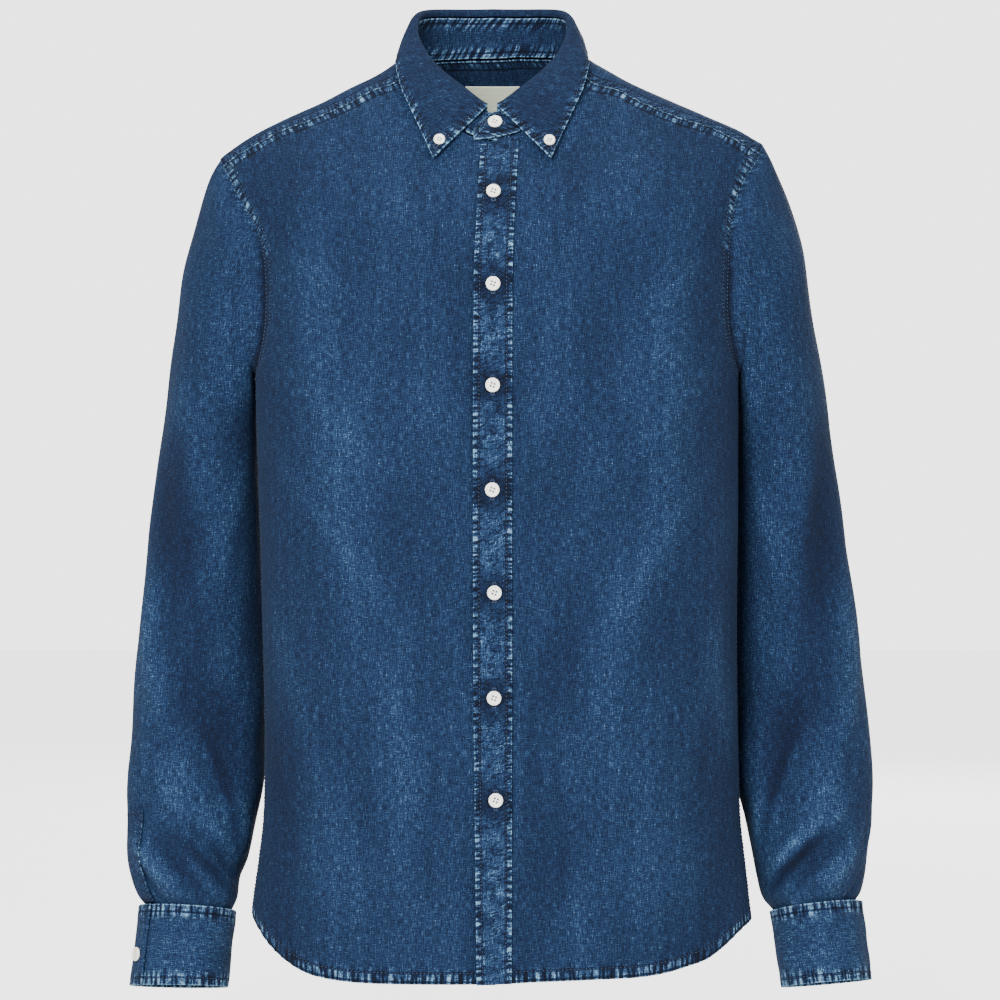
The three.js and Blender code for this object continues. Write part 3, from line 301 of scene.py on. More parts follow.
def frontSurface(side, across, down):
    # rows of the body section from their start to their end, spread evenly by length; the left
    # front is lifted over the right one
    edge = rightEdge if side < 0 else leftEdge
    inner, outer = side * rowStart(side, down, edge), rowEnd(side, down, False)
    spread = 1 - (1 - np.linspace(0, 1, 161)) ** bodyRoundness
    x = side * mix(inner[:, None], outer[:, None], spread)
    points = evenRows(bodyPoint(x, rowHeight(x, down[:, None], False), False), across)
    if side > 0:
        points[..., 1] -= overlapLift(points[..., 0], points[..., 2])
    return points


def backSurface(across, down):
    # rows of the body section from the right edge to the left one, spread evenly by length
    right, left = rowEnd(-1, down, True), rowEnd(1, down, True)
    t = np.linspace(-1, 1, 241)
    spread = np.sign(t) * (1 - (1 - np.abs(t)) ** bodyRoundness)
    x = np.where(spread < 0, spread * right[:, None], spread * left[:, None])
    return evenRows(bodyPoint(x, rowHeight(x, down[:, None], True), True), across)


def shoulderPoint(x, lean):
    # place on the shoulders by width and by lean over the ridge, below zero in front
    back = lean > 0
    reach = np.where(back, backReach, frontReach)
    return bodyPoint(x, ridgeHeight(x) - reach * (1 - np.cos(lean)), back)


def leanAt(x, z, back):
    # the lean over the ridge at a height: the angle whose cosine is one less drop over reach
    reach = np.where(back, backReach, frontReach)
    lean = np.arccos(np.clip(1 - (ridgeHeight(x) - z) / reach, -1, 1))
    return np.where(back, lean, -lean)


def yokeNeckEnd(side):
    # the turn round the neck at which the yoke's front seam starts
    def below(turn):
        x, z, _ = neckPlace(side * turn)
        return z < frontTop(x)
    return float(halve(95.0, 140.0, below))


def yokeSurface(across, down):
    # straight between the front edge, along the fronts and the neck, and the back seam
    along = np.minimum(across, 1 - across)
    side = np.where(across < 0.5, -1, 1)
    top = np.zeros(1)
    neckTurns = np.linspace(-yokeNeckEnd(-1), yokeNeckEnd(1), 241)
    neckShare = (across - yokeNeckStart) / (1 - 2 * yokeNeckStart)
    neck = evenRows(bodyPoint(*neckPlace(neckTurns))[None], neckShare)[0]
    neckLean = leanAt(neck[:, 0], np.minimum(neck[:, 2], ridgeHeight(neck[:, 0])), neck[:, 1] > 0)
    seamShare = 1 - along / yokeNeckStart
    rightSeam, leftSeam = (frontSurface(s, seamShare, top)[0, :, 0] for s in (-1, 1))
    seamX = np.where(side < 0, rightSeam, leftSeam)
    onNeck = along >= yokeNeckStart
    frontX = np.where(onNeck, neck[:, 0], seamX)
    frontLean = np.where(onNeck, neckLean, leanAt(seamX, frontTop(seamX), False))
    tip = np.where(side < 0, rowEnd(-1, top, True), rowEnd(1, top, True))
    backX = side * np.where(onNeck, yokeNeckSpread * (0.5 - along) / (0.5 - yokeNeckStart),
                            mix(tip, yokeNeckSpread, along / yokeNeckStart))
    backLean = leanAt(backX, backSeamHeight, True)
    x = mix(frontX[None], backX[None], down[:, None])
    lean = mix(frontLean[None], backLean[None], down[:, None])
    near = np.clip((np.abs(2 * across - 1) - 0.943) / 0.057, 0, 1)
    for s, columns in ((-1, across < 0.1), (1, across > 0.9)):
        wide = x[:, columns]
        tilt = lean[:, columns]

        def past(out):
            z = shoulderPoint(s * out, tilt)[..., 2]
            return out > np.where(tilt > 0, armholeOut(s, z, True), armholeOut(s, z, False))
        edge = s * halve(np.full(wide.shape, 150.0), np.full(wide.shape, 240.0), past)
        x[:, columns] = mix(wide, edge, near[columns])
    return shoulderPoint(x, lean)


def gridNormals(grid, facing=1, closed=False):
    # across times down, from differences between neighbours
    if closed:
        across = np.roll(grid, -1, axis=1) - np.roll(grid, 1, axis=1)
    else:
        across = np.gradient(grid, axis=1)
    normal = np.cross(across, np.gradient(grid, axis=0)) * facing
    return normal / np.maximum(1e-9, np.linalg.norm(normal, axis=2, keepdims=True))


ringSteps = (8, 9, 8)   # knots of the armhole ring: front, yoke, back


def armholeRing(side, at):
    # places round the armhole, with the way across the seam into the hole
    count = sum(ringSteps)
    spot = np.mod(at, 1) * count
    frontShare = underarmShare * (8 - np.clip(spot, 0, 8)) / 8
    yokeShare = (np.clip(spot, 8, 17) - 8) / 9
    backShare = underarmShare * (np.clip(spot, 17, 25) - 17) / 8
    edge = np.array([0.0, 1.0])
    column = 0 if side < 0 else 1
    front = frontSurface(side, edge, frontShare)[:, 1]
    yoke = yokeSurface(edge, yokeShare)[:, column]
    back = backSurface(edge, backShare)[:, column]
    place = np.where((spot < 8)[:, None], front, np.where((spot < 17)[:, None], yoke, back))
    tangent = np.roll(place, -1, axis=0) - np.roll(place, 1, axis=0)
    middle = place.mean(axis=0)
    plane = np.linalg.svd(place - middle)[2][2]
    leaving = np.cross(tangent, plane * np.sign(plane[0] * side))
    leaving /= np.linalg.norm(leaving, axis=1, keepdims=True)
    leaving *= np.sign(((middle - place) * leaving).sum(axis=1, keepdims=True))
    return place, leaving


def sectionAt(rows, side, share):
    # a section's middle, outward half axis and forward half axis at a share down its table
    numbered = [(i, *row) for i, row in enumerate(rows)]
    at = np.clip(share, 0, 1) * (len(rows) - 1)
    outX, outZ, inX, inZ, back, depth, rise = [smoothRead(numbered, k, at) for k in range(1, 8)]
    outer = np.stack([side * outX, back, outZ], axis=-1)
    inner = np.stack([side * inX, back, inZ], axis=-1)
    forward = np.stack([np.zeros_like(depth), -depth, depth * rise], axis=-1)
    return (outer + inner) / 2, (outer - inner) / 2, forward


def sectionPoint(section, turn):
    # middle plus outward times the cosine and forward times the sine of the turn
    middle, outward, forward = section
    return middle + outward * np.cos(turn)[..., None] + forward * np.sin(turn)[..., None]


# mm between a sleeve and the armhole's edge; shares down the sleeve by which its turns are even,
# its cap has settled and its folds fade out; share of the length that the fading takes
sleeveCap = {"seamGap": 0.42, "evenBy": 0.5, "settledBy": 0.3, "foldsUntil": 0.9, "fade": 0.05}


def sleeveSurface(side, at, down):
    # rings that start on the armhole and settle to rounded sections, with the large folds on them
    rows = sleeveSections["right" if side < 0 else "left"]
    count = sum(ringSteps)
    place, leaving = armholeRing(side, at)
    first = sectionAt(rows, side, np.zeros(1))
    middle, outward, forward = (part[0] for part in first)
    ownTurn = np.arctan2((place - middle) @ forward / (forward @ forward),
                         (place - middle) @ outward / (outward @ outward))
    spot = np.mod(at, 1) * count
    ownTurn = np.where(spot < 0.5, np.abs(ownTurn), ownTurn)
    ownTurn = np.where(spot > count - 0.5, -np.abs(ownTurn), ownTurn)
    offset = place + leaving * sleeveCap["seamGap"] - sectionPoint(first, ownTurn[None])[0]
    evenTurn = np.pi * (1 - 2 * np.mod(at, 1))
    turn = mix(ownTurn[None], evenTurn[None], ease(down / sleeveCap["evenBy"])[:, None])
    section = [part[:, None] for part in sectionAt(rows, side, down)]
    stay = (1 - np.clip(down / sleeveCap["settledBy"], 0, 1)) ** 2
    points = sectionPoint(section, turn) + offset[None] * stay[:, None, None]
    degrees = np.degrees(turn)
    stand = np.zeros(degrees.shape)
    for *line, height in sleeveFolds:
        stand += height * foldShare(line, degrees, points[..., 2])
    way = points - section[0]
    way /= np.linalg.norm(way, axis=2, keepdims=True)
    stand *= (1 - ease((down - sleeveCap["foldsUntil"]) / sleeveCap["fade"]))[:, None]
    return points + way * stand[..., None], degrees, stand


cuffLap, lapStep = 38, 2.45


def cuffSurface(side, edgeTurn, way, across, down):
    # wound round the wrist once, and lapped over its own end
    wound = across * (360 + cuffLap)
    turn = np.radians(edgeTurn + way * wound)
    section = [part[:, None] for part in sectionAt(cuffRings["right" if side < 0 else "left"], side, down)]
    points = sectionPoint(section, np.broadcast_to(turn, (len(down), len(across))))
    lapped = 1 - ease((wound - cuffLap - 3) / 22)
    outward = points - section[0]
    outward /= np.linalg.norm(outward, axis=2, keepdims=True)
    return points + outward * (lapStep * lapped)[None, :, None]


bandTop = float(halve(0.1, 0.36, lambda share: rowHeight(np.array(8.0), share, False) < -58.5))


def bandSurface(across, down):
    # the body section between the band's edges, stepped out over the left front
    down = mix(bandTop, 1, down)
    place = rowHeight(np.zeros(len(down)), down, False)
    right, left = (smoothRead(bandEdges, column, place)[:, None] for column in (1, 2))
    x = mix(right, left, across[None])
    seam = neckPlace(180 - np.degrees(np.arcsin((x - neckMiddle) / neckHalfWidth)))[1] - 2.2
    points = bodyPoint(x, np.minimum(seam, rowHeight(x, down[:, None], False)), False)
    points[..., 1] -= overlapStep + bandStep
    return points


def foldPlace(around):
    # the collar's fold: an oval round the neck, its height read from the table
    turn = np.radians(around)
    return np.stack([neckMiddle + foldHalfWidth * np.sin(turn), 5 + foldHalfDepth * np.cos(turn),
                     smoothRead(collarFold, 1, np.abs(around))], axis=-1)


def lapShift(around):
    # how far the ends step out at the front, the left one over the right one
    lap = ease((np.abs(around) - 140) / 30)
    return lap * np.where(around > 0, 2.1 + 1.6 * ease((around - 170) / 15), -0.4)


def outwardAt(around):
    # the level way out from the neck at a turn
    turn = np.radians(around)
    return np.stack([np.sin(turn), np.cos(turn), np.zeros_like(turn)], axis=-1)


# mm that the stand's top stays under the fold and its foot over the neck seam, the foot's rise
# where it laps, how far it bows out; turn of its ends from the back, in degrees
collarStand = {"underFold": 7.4, "overSeam": 2.2, "lapRise": 2, "bow": 1.6, "endTurn": 191}
leafCrown = 2.4   # mm, how far the leaf bulges between its fold and its free edge


def standSurface(across, down):
    # from its lower edge just over the neck seam up towards the fold, a little bowed
    around = mix(-collarStand["endTurn"], collarStand["endTurn"], across)
    foot, fold = bodyPoint(*neckPlace(around)), foldPlace(around)
    rise = fold - foot
    tall = np.linalg.norm(rise, axis=1)
    rise /= tall[:, None]
    end = np.clip((np.abs(around) - 176) / 15, 0, 1)
    corner = np.sqrt(1 - 0.72 * end * end)
    top = (tall - collarStand["underFold"]) * corner
    bottom = collarStand["overSeam"] + collarStand["lapRise"] * ease((around - 160) / 15)
    height = mix(top[None], bottom[None], down[:, None])
    bow = collarStand["bow"] * np.sin(np.pi * (1 - down))
    out = lapShift(around)[None] + bow[:, None]
    return foot[None] + rise[None] * height[..., None] + outwardAt(around)[None] * out[..., None]


leafTurn, rollShare = 176.5, 0.4


def leafSurface(across, down):
    # up inside the fold, rolled over it and down to the free edge with a slight crown
    around = mix(-leafTurn, leafTurn, across)
    outward = outwardAt(around)
    foot = bodyPoint(*neckPlace(around))
    fold = foldPlace(around) + outward * lapShift(around)[:, None]
    up = (fold - foot) / np.linalg.norm(fold - foot, axis=1, keepdims=True)
    along = np.clip(down / rollShare, 0, 1) * 4
    rolled = (fold[None] + up[None] * smoothRead(leafRoll, 1, along)[:, None, None]
              + outward[None] * smoothRead(leafRoll, 2, along)[:, None, None])
    turn = np.abs(around) * 177 / leafTurn
    edge = np.stack([neckMiddle + np.sign(around) * smoothRead(collarEdge, 1, turn),
                     smoothRead(collarEdge, 2, turn), smoothRead(collarEdge, 3, turn)], axis=-1)
    share = np.clip((down - rollShare) / (1 - rollShare), 0, 1)[:, None, None]
    crown = leafCrown * np.sin(np.pi * share)
    return mix(rolled, edge[None], share) + outward[None] * crown


neckLabel = {"halfWidth": 23, "length": 30, "off": 1.85}   # mm; off is from the back's middle


def labelSurface(across, down):
    # a rectangle on the inside of the back, off it along the normals
    x = neckMiddle + mix(-neckLabel["halfWidth"], neckLabel["halfWidth"], across)
    points = bodyPoint(x[None], mix(0, -neckLabel["length"], down)[:, None], True)
    return points - gridNormals(points) * neckLabel["off"]


def shareList(count, edge=0.0):
    # even shares, with one more close to both ends so that an edge turns over tightly
    shares = np.linspace(0, 1, count + 1)
    return np.sort(np.concatenate([shares, [edge, 1 - edge]])) if edge else shares


def softNoise(a, b, size, seed, stretch=1.0):
    # a sum of waves in every direction, of about that size in mm, between -1 and 1
    waves = np.random.default_rng(seed)
    total = np.zeros(np.broadcast(a, b).shape)
    for _ in range(9):
        angle, phase = waves.uniform(0, np.pi), waves.uniform(0, 2 * np.pi)
        rate = 2 * np.pi / (size * waves.uniform(0.7, 1.5))
        total += np.sin(rate * (a * np.cos(angle) + b * np.sin(angle) / stretch) + phase)
    return total / 4.5


def arcs(grid, closed=False):
    # running lengths across and down the grid, in mm
    if closed:
        grid = np.concatenate([grid, grid[:, :1]], axis=1)
    acrossSteps = np.linalg.norm(np.diff(grid, axis=1), axis=2)
    downSteps = np.linalg.norm(np.diff(grid, axis=0), axis=2)
    across = np.concatenate([np.zeros((len(grid), 1)), np.cumsum(acrossSteps, axis=1)], axis=1)
    down = np.concatenate([np.zeros((1, grid.shape[1])), np.cumsum(downSteps, axis=0)], axis=0)
    return across, down


def seamField(across, down, edges):
    # distance to the nearest sewn edge, and the running length along that edge
    fields = {
        "top": (down, across), "bottom": (down[-1:] - down, across),
        "start": (across, down), "end": (across[:, -1:] - across, down)}
    distance, along = np.full(across.shape, 900.0), np.zeros(across.shape)
    for edge in edges:
        off, run = fields[edge]
        nearer = off < distance
        distance, along = np.where(nearer, off, distance), np.where(nearer, run, along)
    return distance, along


def shellFaces(rows, columns, closed):
    # corners of every face of a closed wall, counted on a grid with one column more when closed
    wide = columns + 1 if closed else columns
    i, j = np.meshgrid(np.arange(rows - 1), np.arange(wide - 1), indexing="ij")
    spot = (i * wide + j).ravel()
    inner = rows * wide
    quads = [np.stack([spot, spot + 1, spot + wide + 1, spot + wide], axis=1)]
    quads.append(np.stack([spot, spot + wide, spot + wide + 1, spot + 1], axis=1) + inner)
    j = np.arange(wide - 1)
    for base, flip in ((0, False), ((rows - 1) * wide, True)):
        rim = np.stack([base + j, inner + base + j, inner + base + j + 1, base + j + 1], axis=1)
        quads.append(rim[:, ::-1] if flip else rim)
    if not closed:
        i = np.arange(rows - 1) * wide
        for base, flip in ((0, True), (wide - 1, False)):
            rim = np.stack([base + i, inner + base + i, inner + base + i + wide, base + i + wide], axis=1)
            quads.append(rim[:, ::-1] if flip else rim)
    faces = np.concatenate(quads)
    spots = np.arange(2 * rows * wide)
    layer, rest = spots // inner, spots % inner
    vertexOf = layer * rows * columns + (rest // wide) * columns + (rest % wide) % columns
    return faces, vertexOf


def meshFrom(name, places, faces, uvs=(), attributes=(), smooth=True):
    # places in mm, faces as rows of corners, uvs as (name, corner values), attributes per vertex
    mesh = bpy.data.meshes.new(name)
    mesh.from_pydata((places * 0.001).tolist(), [], faces.tolist() if hasattr(faces, "tolist") else faces)
    for label, values in uvs:
        mesh.uv_layers.new(name=label).data.foreach_set("uv", values.astype(np.float32).ravel())
    for label, values in attributes:
        field = mesh.attributes.new(label, "FLOAT", "POINT")
        field.data.foreach_set("value", values.astype(np.float32).ravel())
    mesh.polygons.foreach_set("use_smooth", np.full(len(mesh.polygons), smooth))
    mesh.update()
    made = bpy.data.objects.new(name, mesh)
    bpy.context.scene.collection.objects.link(made)
    return made


def facesInwards(places, faces):
    # whether the volume summed over the faces comes out below zero
    a, b, c, d = (places[faces[:, k]] for k in range(4))
    return (a * (np.cross(b, c) + np.cross(c, d))).sum() < 0


cloths = {}   # every finished piece: its outer grid, normals, object and area
gathering = {"wave": 1.75, "wander": 1.5, "patch": 30}   # puckers about 11 mm apart, mm


def clothPiece(name, nodes, grid, material, facing=1, closed=False, thick=clothThick, edges=(),
               relief=0.0, shade=0.0, form=0.0, pucker=(0.0, 6.0, 0.42), upright=False, threads=None,
               grainMiddle=0.0, grainStart=0.0, quiet=1.0, warpAcross=False):
    # a wall of cloth on a grid: relief moves it along its normals, pucker is how strong, how far
    # in from the sewn edges and how high the gathering is, shade lightens or darkens it, form is
    # the folds that the grid already has, which only go into the relief attribute whose ridges the
    # finish paints lighter and hollows darker (painted fold shading, with ridge wear), upright keeps the
    # warp plumb instead of along the edge, quiet is how much of the gathering is left, and warpAcross lays
    # the warp across
    across, down = arcs(grid, closed)
    distance, along = seamField(across, down, edges)
    rows, columns = grid.shape[:2]
    normals = gridNormals(grid, facing, closed)
    strong, reach, high = pucker
    strength = strong * np.exp(-(distance / reach) ** 4)
    strength[:, :columns] *= quiet
    phase = gathering["wander"] * softNoise(along, distance, gathering["patch"], 3)
    phase += along / gathering["wave"]
    lift = (high * strength * np.sin(phase))[:, :columns] + relief
    moved = grid + normals * lift[..., None]
    normals = gridNormals(moved, facing, closed)
    outer, inner = moved + normals * thick / 2, moved - normals * thick / 2
    places = np.concatenate([outer.reshape(-1, 3), inner.reshape(-1, 3)])
    faces, vertexOf = shellFaces(rows, columns, closed)
    if facesInwards(places, vertexOf[faces]):
        faces = faces[:, ::-1]
    fall = -down
    if upright:
        fall = np.concatenate([grid[..., 2], grid[:, :1, 2]], axis=1) if closed else grid[..., 2]
        threads = arcs(grid * np.array([1.0, 1.0, 0.0]), closed)[0] if threads is None else threads
    threads = across if threads is None else threads
    threads = threads + grainStart - grainMiddle * threads[:, -1:]
    weave = np.stack([fall, threads] if warpAcross else [threads, fall], axis=-1)
    seam = np.stack([along, distance], axis=-1)
    maps = [(label, np.tile(flat.reshape(-1, 2) * 0.001, (2, 1))[faces].reshape(-1, 2))
            for label, flat in (("weave", weave), ("seam", seam))]
    fields = [("relief", lift + form), ("pucker", strength[:, :columns]), ("shade", shade + 0 * lift)]
    fields = [(label, np.tile(values.ravel(), 2)) for label, values in fields]
    made = meshFrom(name, places, vertexOf[faces], maps, fields)
    made.data.materials.append(material)
    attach(made, "root")
    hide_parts(*nodes)
    cells = np.cross(np.diff(grid, axis=0)[:, :-1], np.diff(grid, axis=1)[:-1])
    area = float(np.linalg.norm(cells, axis=2).sum()) * 1e-6
    cloths[name] = {"grid": outer, "normals": normals, "piece": made, "area": area}
    print(name, "girth", [round(float(v)) for v in across[[0, -1], -1]], "length",
          round(float(down[-1].max())), "area", round(area, 4), "faces", len(faces))
    return made


def edgePath(cloth, edge, inset):
    # the line at an inset from one edge, with the cloth's normals there
    def turnTo(values):
        if edge == "bottom":
            return values[::-1]
        if edge == "start":
            return values.transpose(1, 0, 2)
        if edge == "end":
            return values[:, ::-1].transpose(1, 0, 2)
        return values
    grid, normals = turnTo(cloths[cloth]["grid"]), turnTo(cloths[cloth]["normals"])
    steps = np.linalg.norm(np.diff(grid, axis=0), axis=2)
    run = np.concatenate([np.zeros((1, grid.shape[1])), np.cumsum(steps, axis=0)])
    i = np.clip((run <= inset).sum(axis=0) - 1, 0, len(run) - 2)
    j = np.arange(grid.shape[1])
    t = ((inset - run[i, j]) / (run[i + 1, j] - run[i, j]))[:, None]
    return mix(grid[i, j], grid[i + 1, j], t), mix(normals[i, j], normals[i + 1, j], t)


def stitchPlaces(points, normals, pitch, cut):
    # stitch middles evenly along a line, with its way and the cloth's normal at each
    steps = np.linalg.norm(np.diff(points, axis=0), axis=1)
    run = np.concatenate([[0], np.cumsum(steps)])
    count = max(1, int((run[-1] - cut[0] - cut[1]) / pitch))
    at = cut[0] + (np.arange(count) + 0.5) * (run[-1] - cut[0] - cut[1]) / count
    centre, normal, ahead, behind = (
        np.stack([np.interp(where, run, line[:, k]) for k in range(3)], axis=1)
        for where, line in ((at, points), (at, normals), (at + 0.4, points), (at - 0.4, points)))
    way = ahead - behind
    way /= np.linalg.norm(way, axis=1, keepdims=True)
    normal /= np.linalg.norm(normal, axis=1, keepdims=True)
    return centre, way, normal


def stitchMesh(name, rows, material, length=2.3, width=0.75, height=0.42):
    # each stitch is a slim pointed grain: two tips sunk in the cloth and two rings of four
    centre, way, normal = (np.concatenate([row[k] for row in rows]) for k in range(3))
    side = np.cross(way, normal)
    along = np.array([-0.5, -0.22, -0.22, -0.22, -0.22, 0.22, 0.22, 0.22, 0.22, 0.5]) * length
    aside = np.array([0, 1, 0, -1, 0, 1, 0, -1, 0, 0]) * width / 2
    up = np.array([-0.15, 0.1, 1, 0.1, -0.3, 0.1, 1, 0.1, -0.3, -0.15]) * height
    places = (centre[:, None] + way[:, None] * along[None, :, None] + side[:, None] * aside[None, :, None]
              + normal[:, None] * up[None, :, None]).reshape(-1, 3)
    pattern = [
        (0, 2, 1), (0, 3, 2), (0, 4, 3), (0, 1, 4), (1, 2, 6, 5), (2, 3, 7, 6), (3, 4, 8, 7), (4, 1, 5, 8),
        (9, 5, 6), (9, 6, 7), (9, 7, 8), (9, 8, 5)]
    faces = [tuple(corner + 10 * k for corner in face) for k in range(len(centre)) for face in pattern]
    made = meshFrom(name, places, faces)
    made.data.materials.append(material)
    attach(made, "root")
    return made


def linear(code):
    # an sRGB hex colour turned linear
    value = np.array([int(code[k:k + 2], 16) for k in (1, 3, 5)]) / 255
    value = np.where(value <= 0.04045, value / 12.92, ((value + 0.055) / 1.055) ** 2.4)
    return (*value.tolist(), 1.0)


def addNode(tree, kind, settings=None, links=None):
    # one node with its settings and what feeds it
    node = tree.nodes.new(kind)
    for key, value in (settings or {}).items():
        if isinstance(key, str) and hasattr(node, key):
            setattr(node, key, value)
        else:
            node.inputs[key].default_value = value
    for key, source in (links or {}).items():
        tree.links.new(source, node.inputs[key])
    return node


def newMaterial(name):
    # a material with its node tree and shader
    made = bpy.data.materials.new(name)
    made.use_nodes = True
    tree = made.node_tree
    return made, tree, tree.nodes["Principled BSDF"]


def rampStops(node, stops):
    # a colour ramp's places and colours
    while len(node.color_ramp.elements) < len(stops):
        node.color_ramp.elements.new(0.5)
    for element, (place, colour) in zip(node.color_ramp.elements, stops):
        element.position = place
        element.color = linear(colour)


# Indigo-dyed cotton denim, stone-washed: yarns dyed only on the outside, so a blue ground is
# sprinkled with pale slubs, edges rub pale, and the hollows of puckers stay dark.
denim = {
    "deep": "#030712", "dark": "#060f23", "middle": "#0a1b36", "light": "#213b5c", "worn": "#6e92aa",
    "yarn": 0.7,         # mm, one warp yarn
    "slub": 7.0,         # mm, length of a thick place in a yarn
    "cloud": 46.0,       # mm, patches of the wash
    "shadedGroove": (0.35, 1.25), "rubbed": (0.3, 1.3),   # mm, full and gone, from a stitch row, from an edge
    "ground": 0.49, "sheen": 0.05}
# what each finish changes: stitch rows in mm from the edge, with painted shade in their grooves, how strongly
# yarns differ, rub at the edges, wash, painted shading of the folds with their ridge wear, painted shade of
# creases across a strip, size of the flecks
finishes = {
    "Body": {"insets": (1.8, 9.0), "rub": 0.5},
    "Sleeve": {"rub": 0.2, "wash": 0.02, "foldShadeAndWear": 0.036},
    "Band": {"insets": (4.6,), "contrast": 0.95, "rub": 0.35, "wash": 0.01, "crackShade": 0.3},
    "Placket": {"insets": (1.8,), "rub": 0.15},
    "Collar": {"insets": (4.4,), "rub": 0.85, "wash": -0.07, "fleckSize": 1.7},
    "Cuff": {"insets": (6.0,), "rub": 0.7, "wash": 0.09, "crackShade": 0.06}}


def denimFinish(name, rub, insets=(), contrast=1.0, wash=0.0, foldShadeAndWear=0.05, crackShade=0.0, fleckSize=1.0):
    made, tree, shader = newMaterial(name)
    weave, seam = (addNode(tree, "ShaderNodeUVMap", {"uv_map": label}).outputs[0]
                   for label in ("weave", "seam"))
    relief, pucker, shade = (addNode(tree, "ShaderNodeAttribute", {"attribute_name": label}).outputs["Fac"]
                             for label in ("relief", "pucker", "shade"))
    yarn, slub, cloud, fleck = denim["yarn"], denim["slub"], denim["cloud"], denim["yarn"] * fleckSize
    pattern = {   # its map, size across and along in mm, detail, roughness
        "warp": (weave, yarn, slub, 2.0, 0.6), "weft": (weave, slub * 0.8, yarn, 1.5, 0.6),
        "grain": (weave, yarn, yarn, 2.0, 0.7), "fleck": (weave, fleck * 1.8, fleck * 3.2, 3.0, 0.75),
        "cloud": (weave, cloud, cloud * 2.2, 3.0, 0.6), "streak": (weave, 5.0, 60.0, 2.0, 0.6),
        "gather": (seam, 3.3, 26.0, 1.5, 0.5), "blotch": (seam, 9.0, 12.0, 2.0, 0.6)}
    if crackShade:
        pattern["crack"] = (weave, 11.0, 5.5, 2.5, 0.55)
    for label, (place, wide, long, detail, rough) in pattern.items():
        rate = (1000 / wide, 1000 / long, 1)
        place = addNode(tree, "ShaderNodeMapping", {"Scale": rate}, {"Vector": place})
        pattern[label] = addNode(tree, "ShaderNodeTexNoise", {
            "noise_dimensions": "2D", "Scale": 1.0, "Detail": detail, "Roughness": rough},
            {"Vector": place.outputs[0]}).outputs[0]

    # painted shade in the grooves at the stitch rows and a pale rubbed edge, by the distance from the edge
    away = addNode(tree, "ShaderNodeSeparateXYZ", {}, {0: seam}).outputs[1]
    away = addNode(tree, "ShaderNodeMath", {"operation": "MULTIPLY", 1: 1000.0}, {0: away}).outputs[0]
    full, gone = denim["shadedGroove"]
    shadedGrooves = []
    for inset in insets:
        off = addNode(tree, "ShaderNodeMath", {"operation": "SUBTRACT", 1: inset}, {0: away}).outputs[0]
        off = addNode(tree, "ShaderNodeMath", {"operation": "ABSOLUTE"}, {0: off}).outputs[0]
        shadedGroove = addNode(tree, "ShaderNodeMapRange", {1: full, 2: gone, 3: 1.0, 4: 0.0}, {0: off})
        shadedGrooves.append(shadedGroove.outputs[0])
    full, gone = denim["rubbed"]
    edge = addNode(tree, "ShaderNodeMapRange", {1: full, 2: gone, 3: rub, 4: 0.0}, {0: away}).outputs[0]

    # beside the seams, short strokes and blotches as strong as the gathering there
    strokes = addNode(tree, "ShaderNodeMapRange", {
        "interpolation_type": "SMOOTHSTEP", 1: 0.40, 2: 0.60, 3: -1.0, 4: 1.0}, {0: pattern["gather"]})
    blotches = addNode(tree, "ShaderNodeMath", {"operation": "SUBTRACT", 1: 0.5}, {0: pattern["blotch"]})
    gathered, blotched = (
        addNode(tree, "ShaderNodeMath", {"operation": "MULTIPLY"}, {0: part.outputs[0], 1: pucker}).outputs[0]
        for part in (strokes, blotches))

    # tone is the ground plus each pattern's distance from its middle value times its amount
    amounts = {"warp": 0.72, "weft": 0.55, "grain": 0.95, "fleck": 0.10 * fleckSize ** 2, "cloud": 0.10,
               "streak": 0.16}
    parts = [(pattern[label], amount * contrast) for label, amount in amounts.items()]
    ground = denim["ground"] + wash - 0.5 * contrast * sum(amounts.values())
    # relief: painted fold shading, ridges lighter and hollows darker, together with the ridges' wear
    parts += [(relief, foldShadeAndWear), (gathered, 0.24), (blotched, 0.9), (edge, 0.55), (shade, 1.0)]
    # painted shade: each stitch row's groove is painted darker
    parts += [(shadedGroove, -0.32) for shadedGroove in shadedGrooves]
    if crackShade:   # painted shade of creases that wander across a strip, where a noise passes its middle value
        wander = addNode(tree, "ShaderNodeMath", {"operation": "SUBTRACT", 1: 0.5}, {0: pattern["crack"]})
        off = addNode(tree, "ShaderNodeMath", {"operation": "ABSOLUTE"}, {0: wander.outputs[0]}).outputs[0]
        paintedCrease = addNode(tree, "ShaderNodeMapRange", {1: 0.01, 2: 0.045, 3: 1.0, 4: 0.0}, {0: off})
        parts.append((paintedCrease.outputs[0], -crackShade))
    tone = addNode(tree, "ShaderNodeValue").outputs[0]
    tone.default_value = ground
    for source, amount in parts:
        tone = addNode(tree, "ShaderNodeMath", {"operation": "MULTIPLY_ADD", 1: amount},
                       {0: source, 2: tone}).outputs[0]
    ramp = addNode(tree, "ShaderNodeValToRGB", {}, {0: tone})
    rampStops(ramp, [(0.0, denim["deep"]), (0.25, denim["dark"]), (0.5, denim["middle"]),
                     (0.78, denim["light"]), (1.0, denim["worn"])])
    tree.links.new(ramp.outputs[0], shader.inputs["Base Color"])

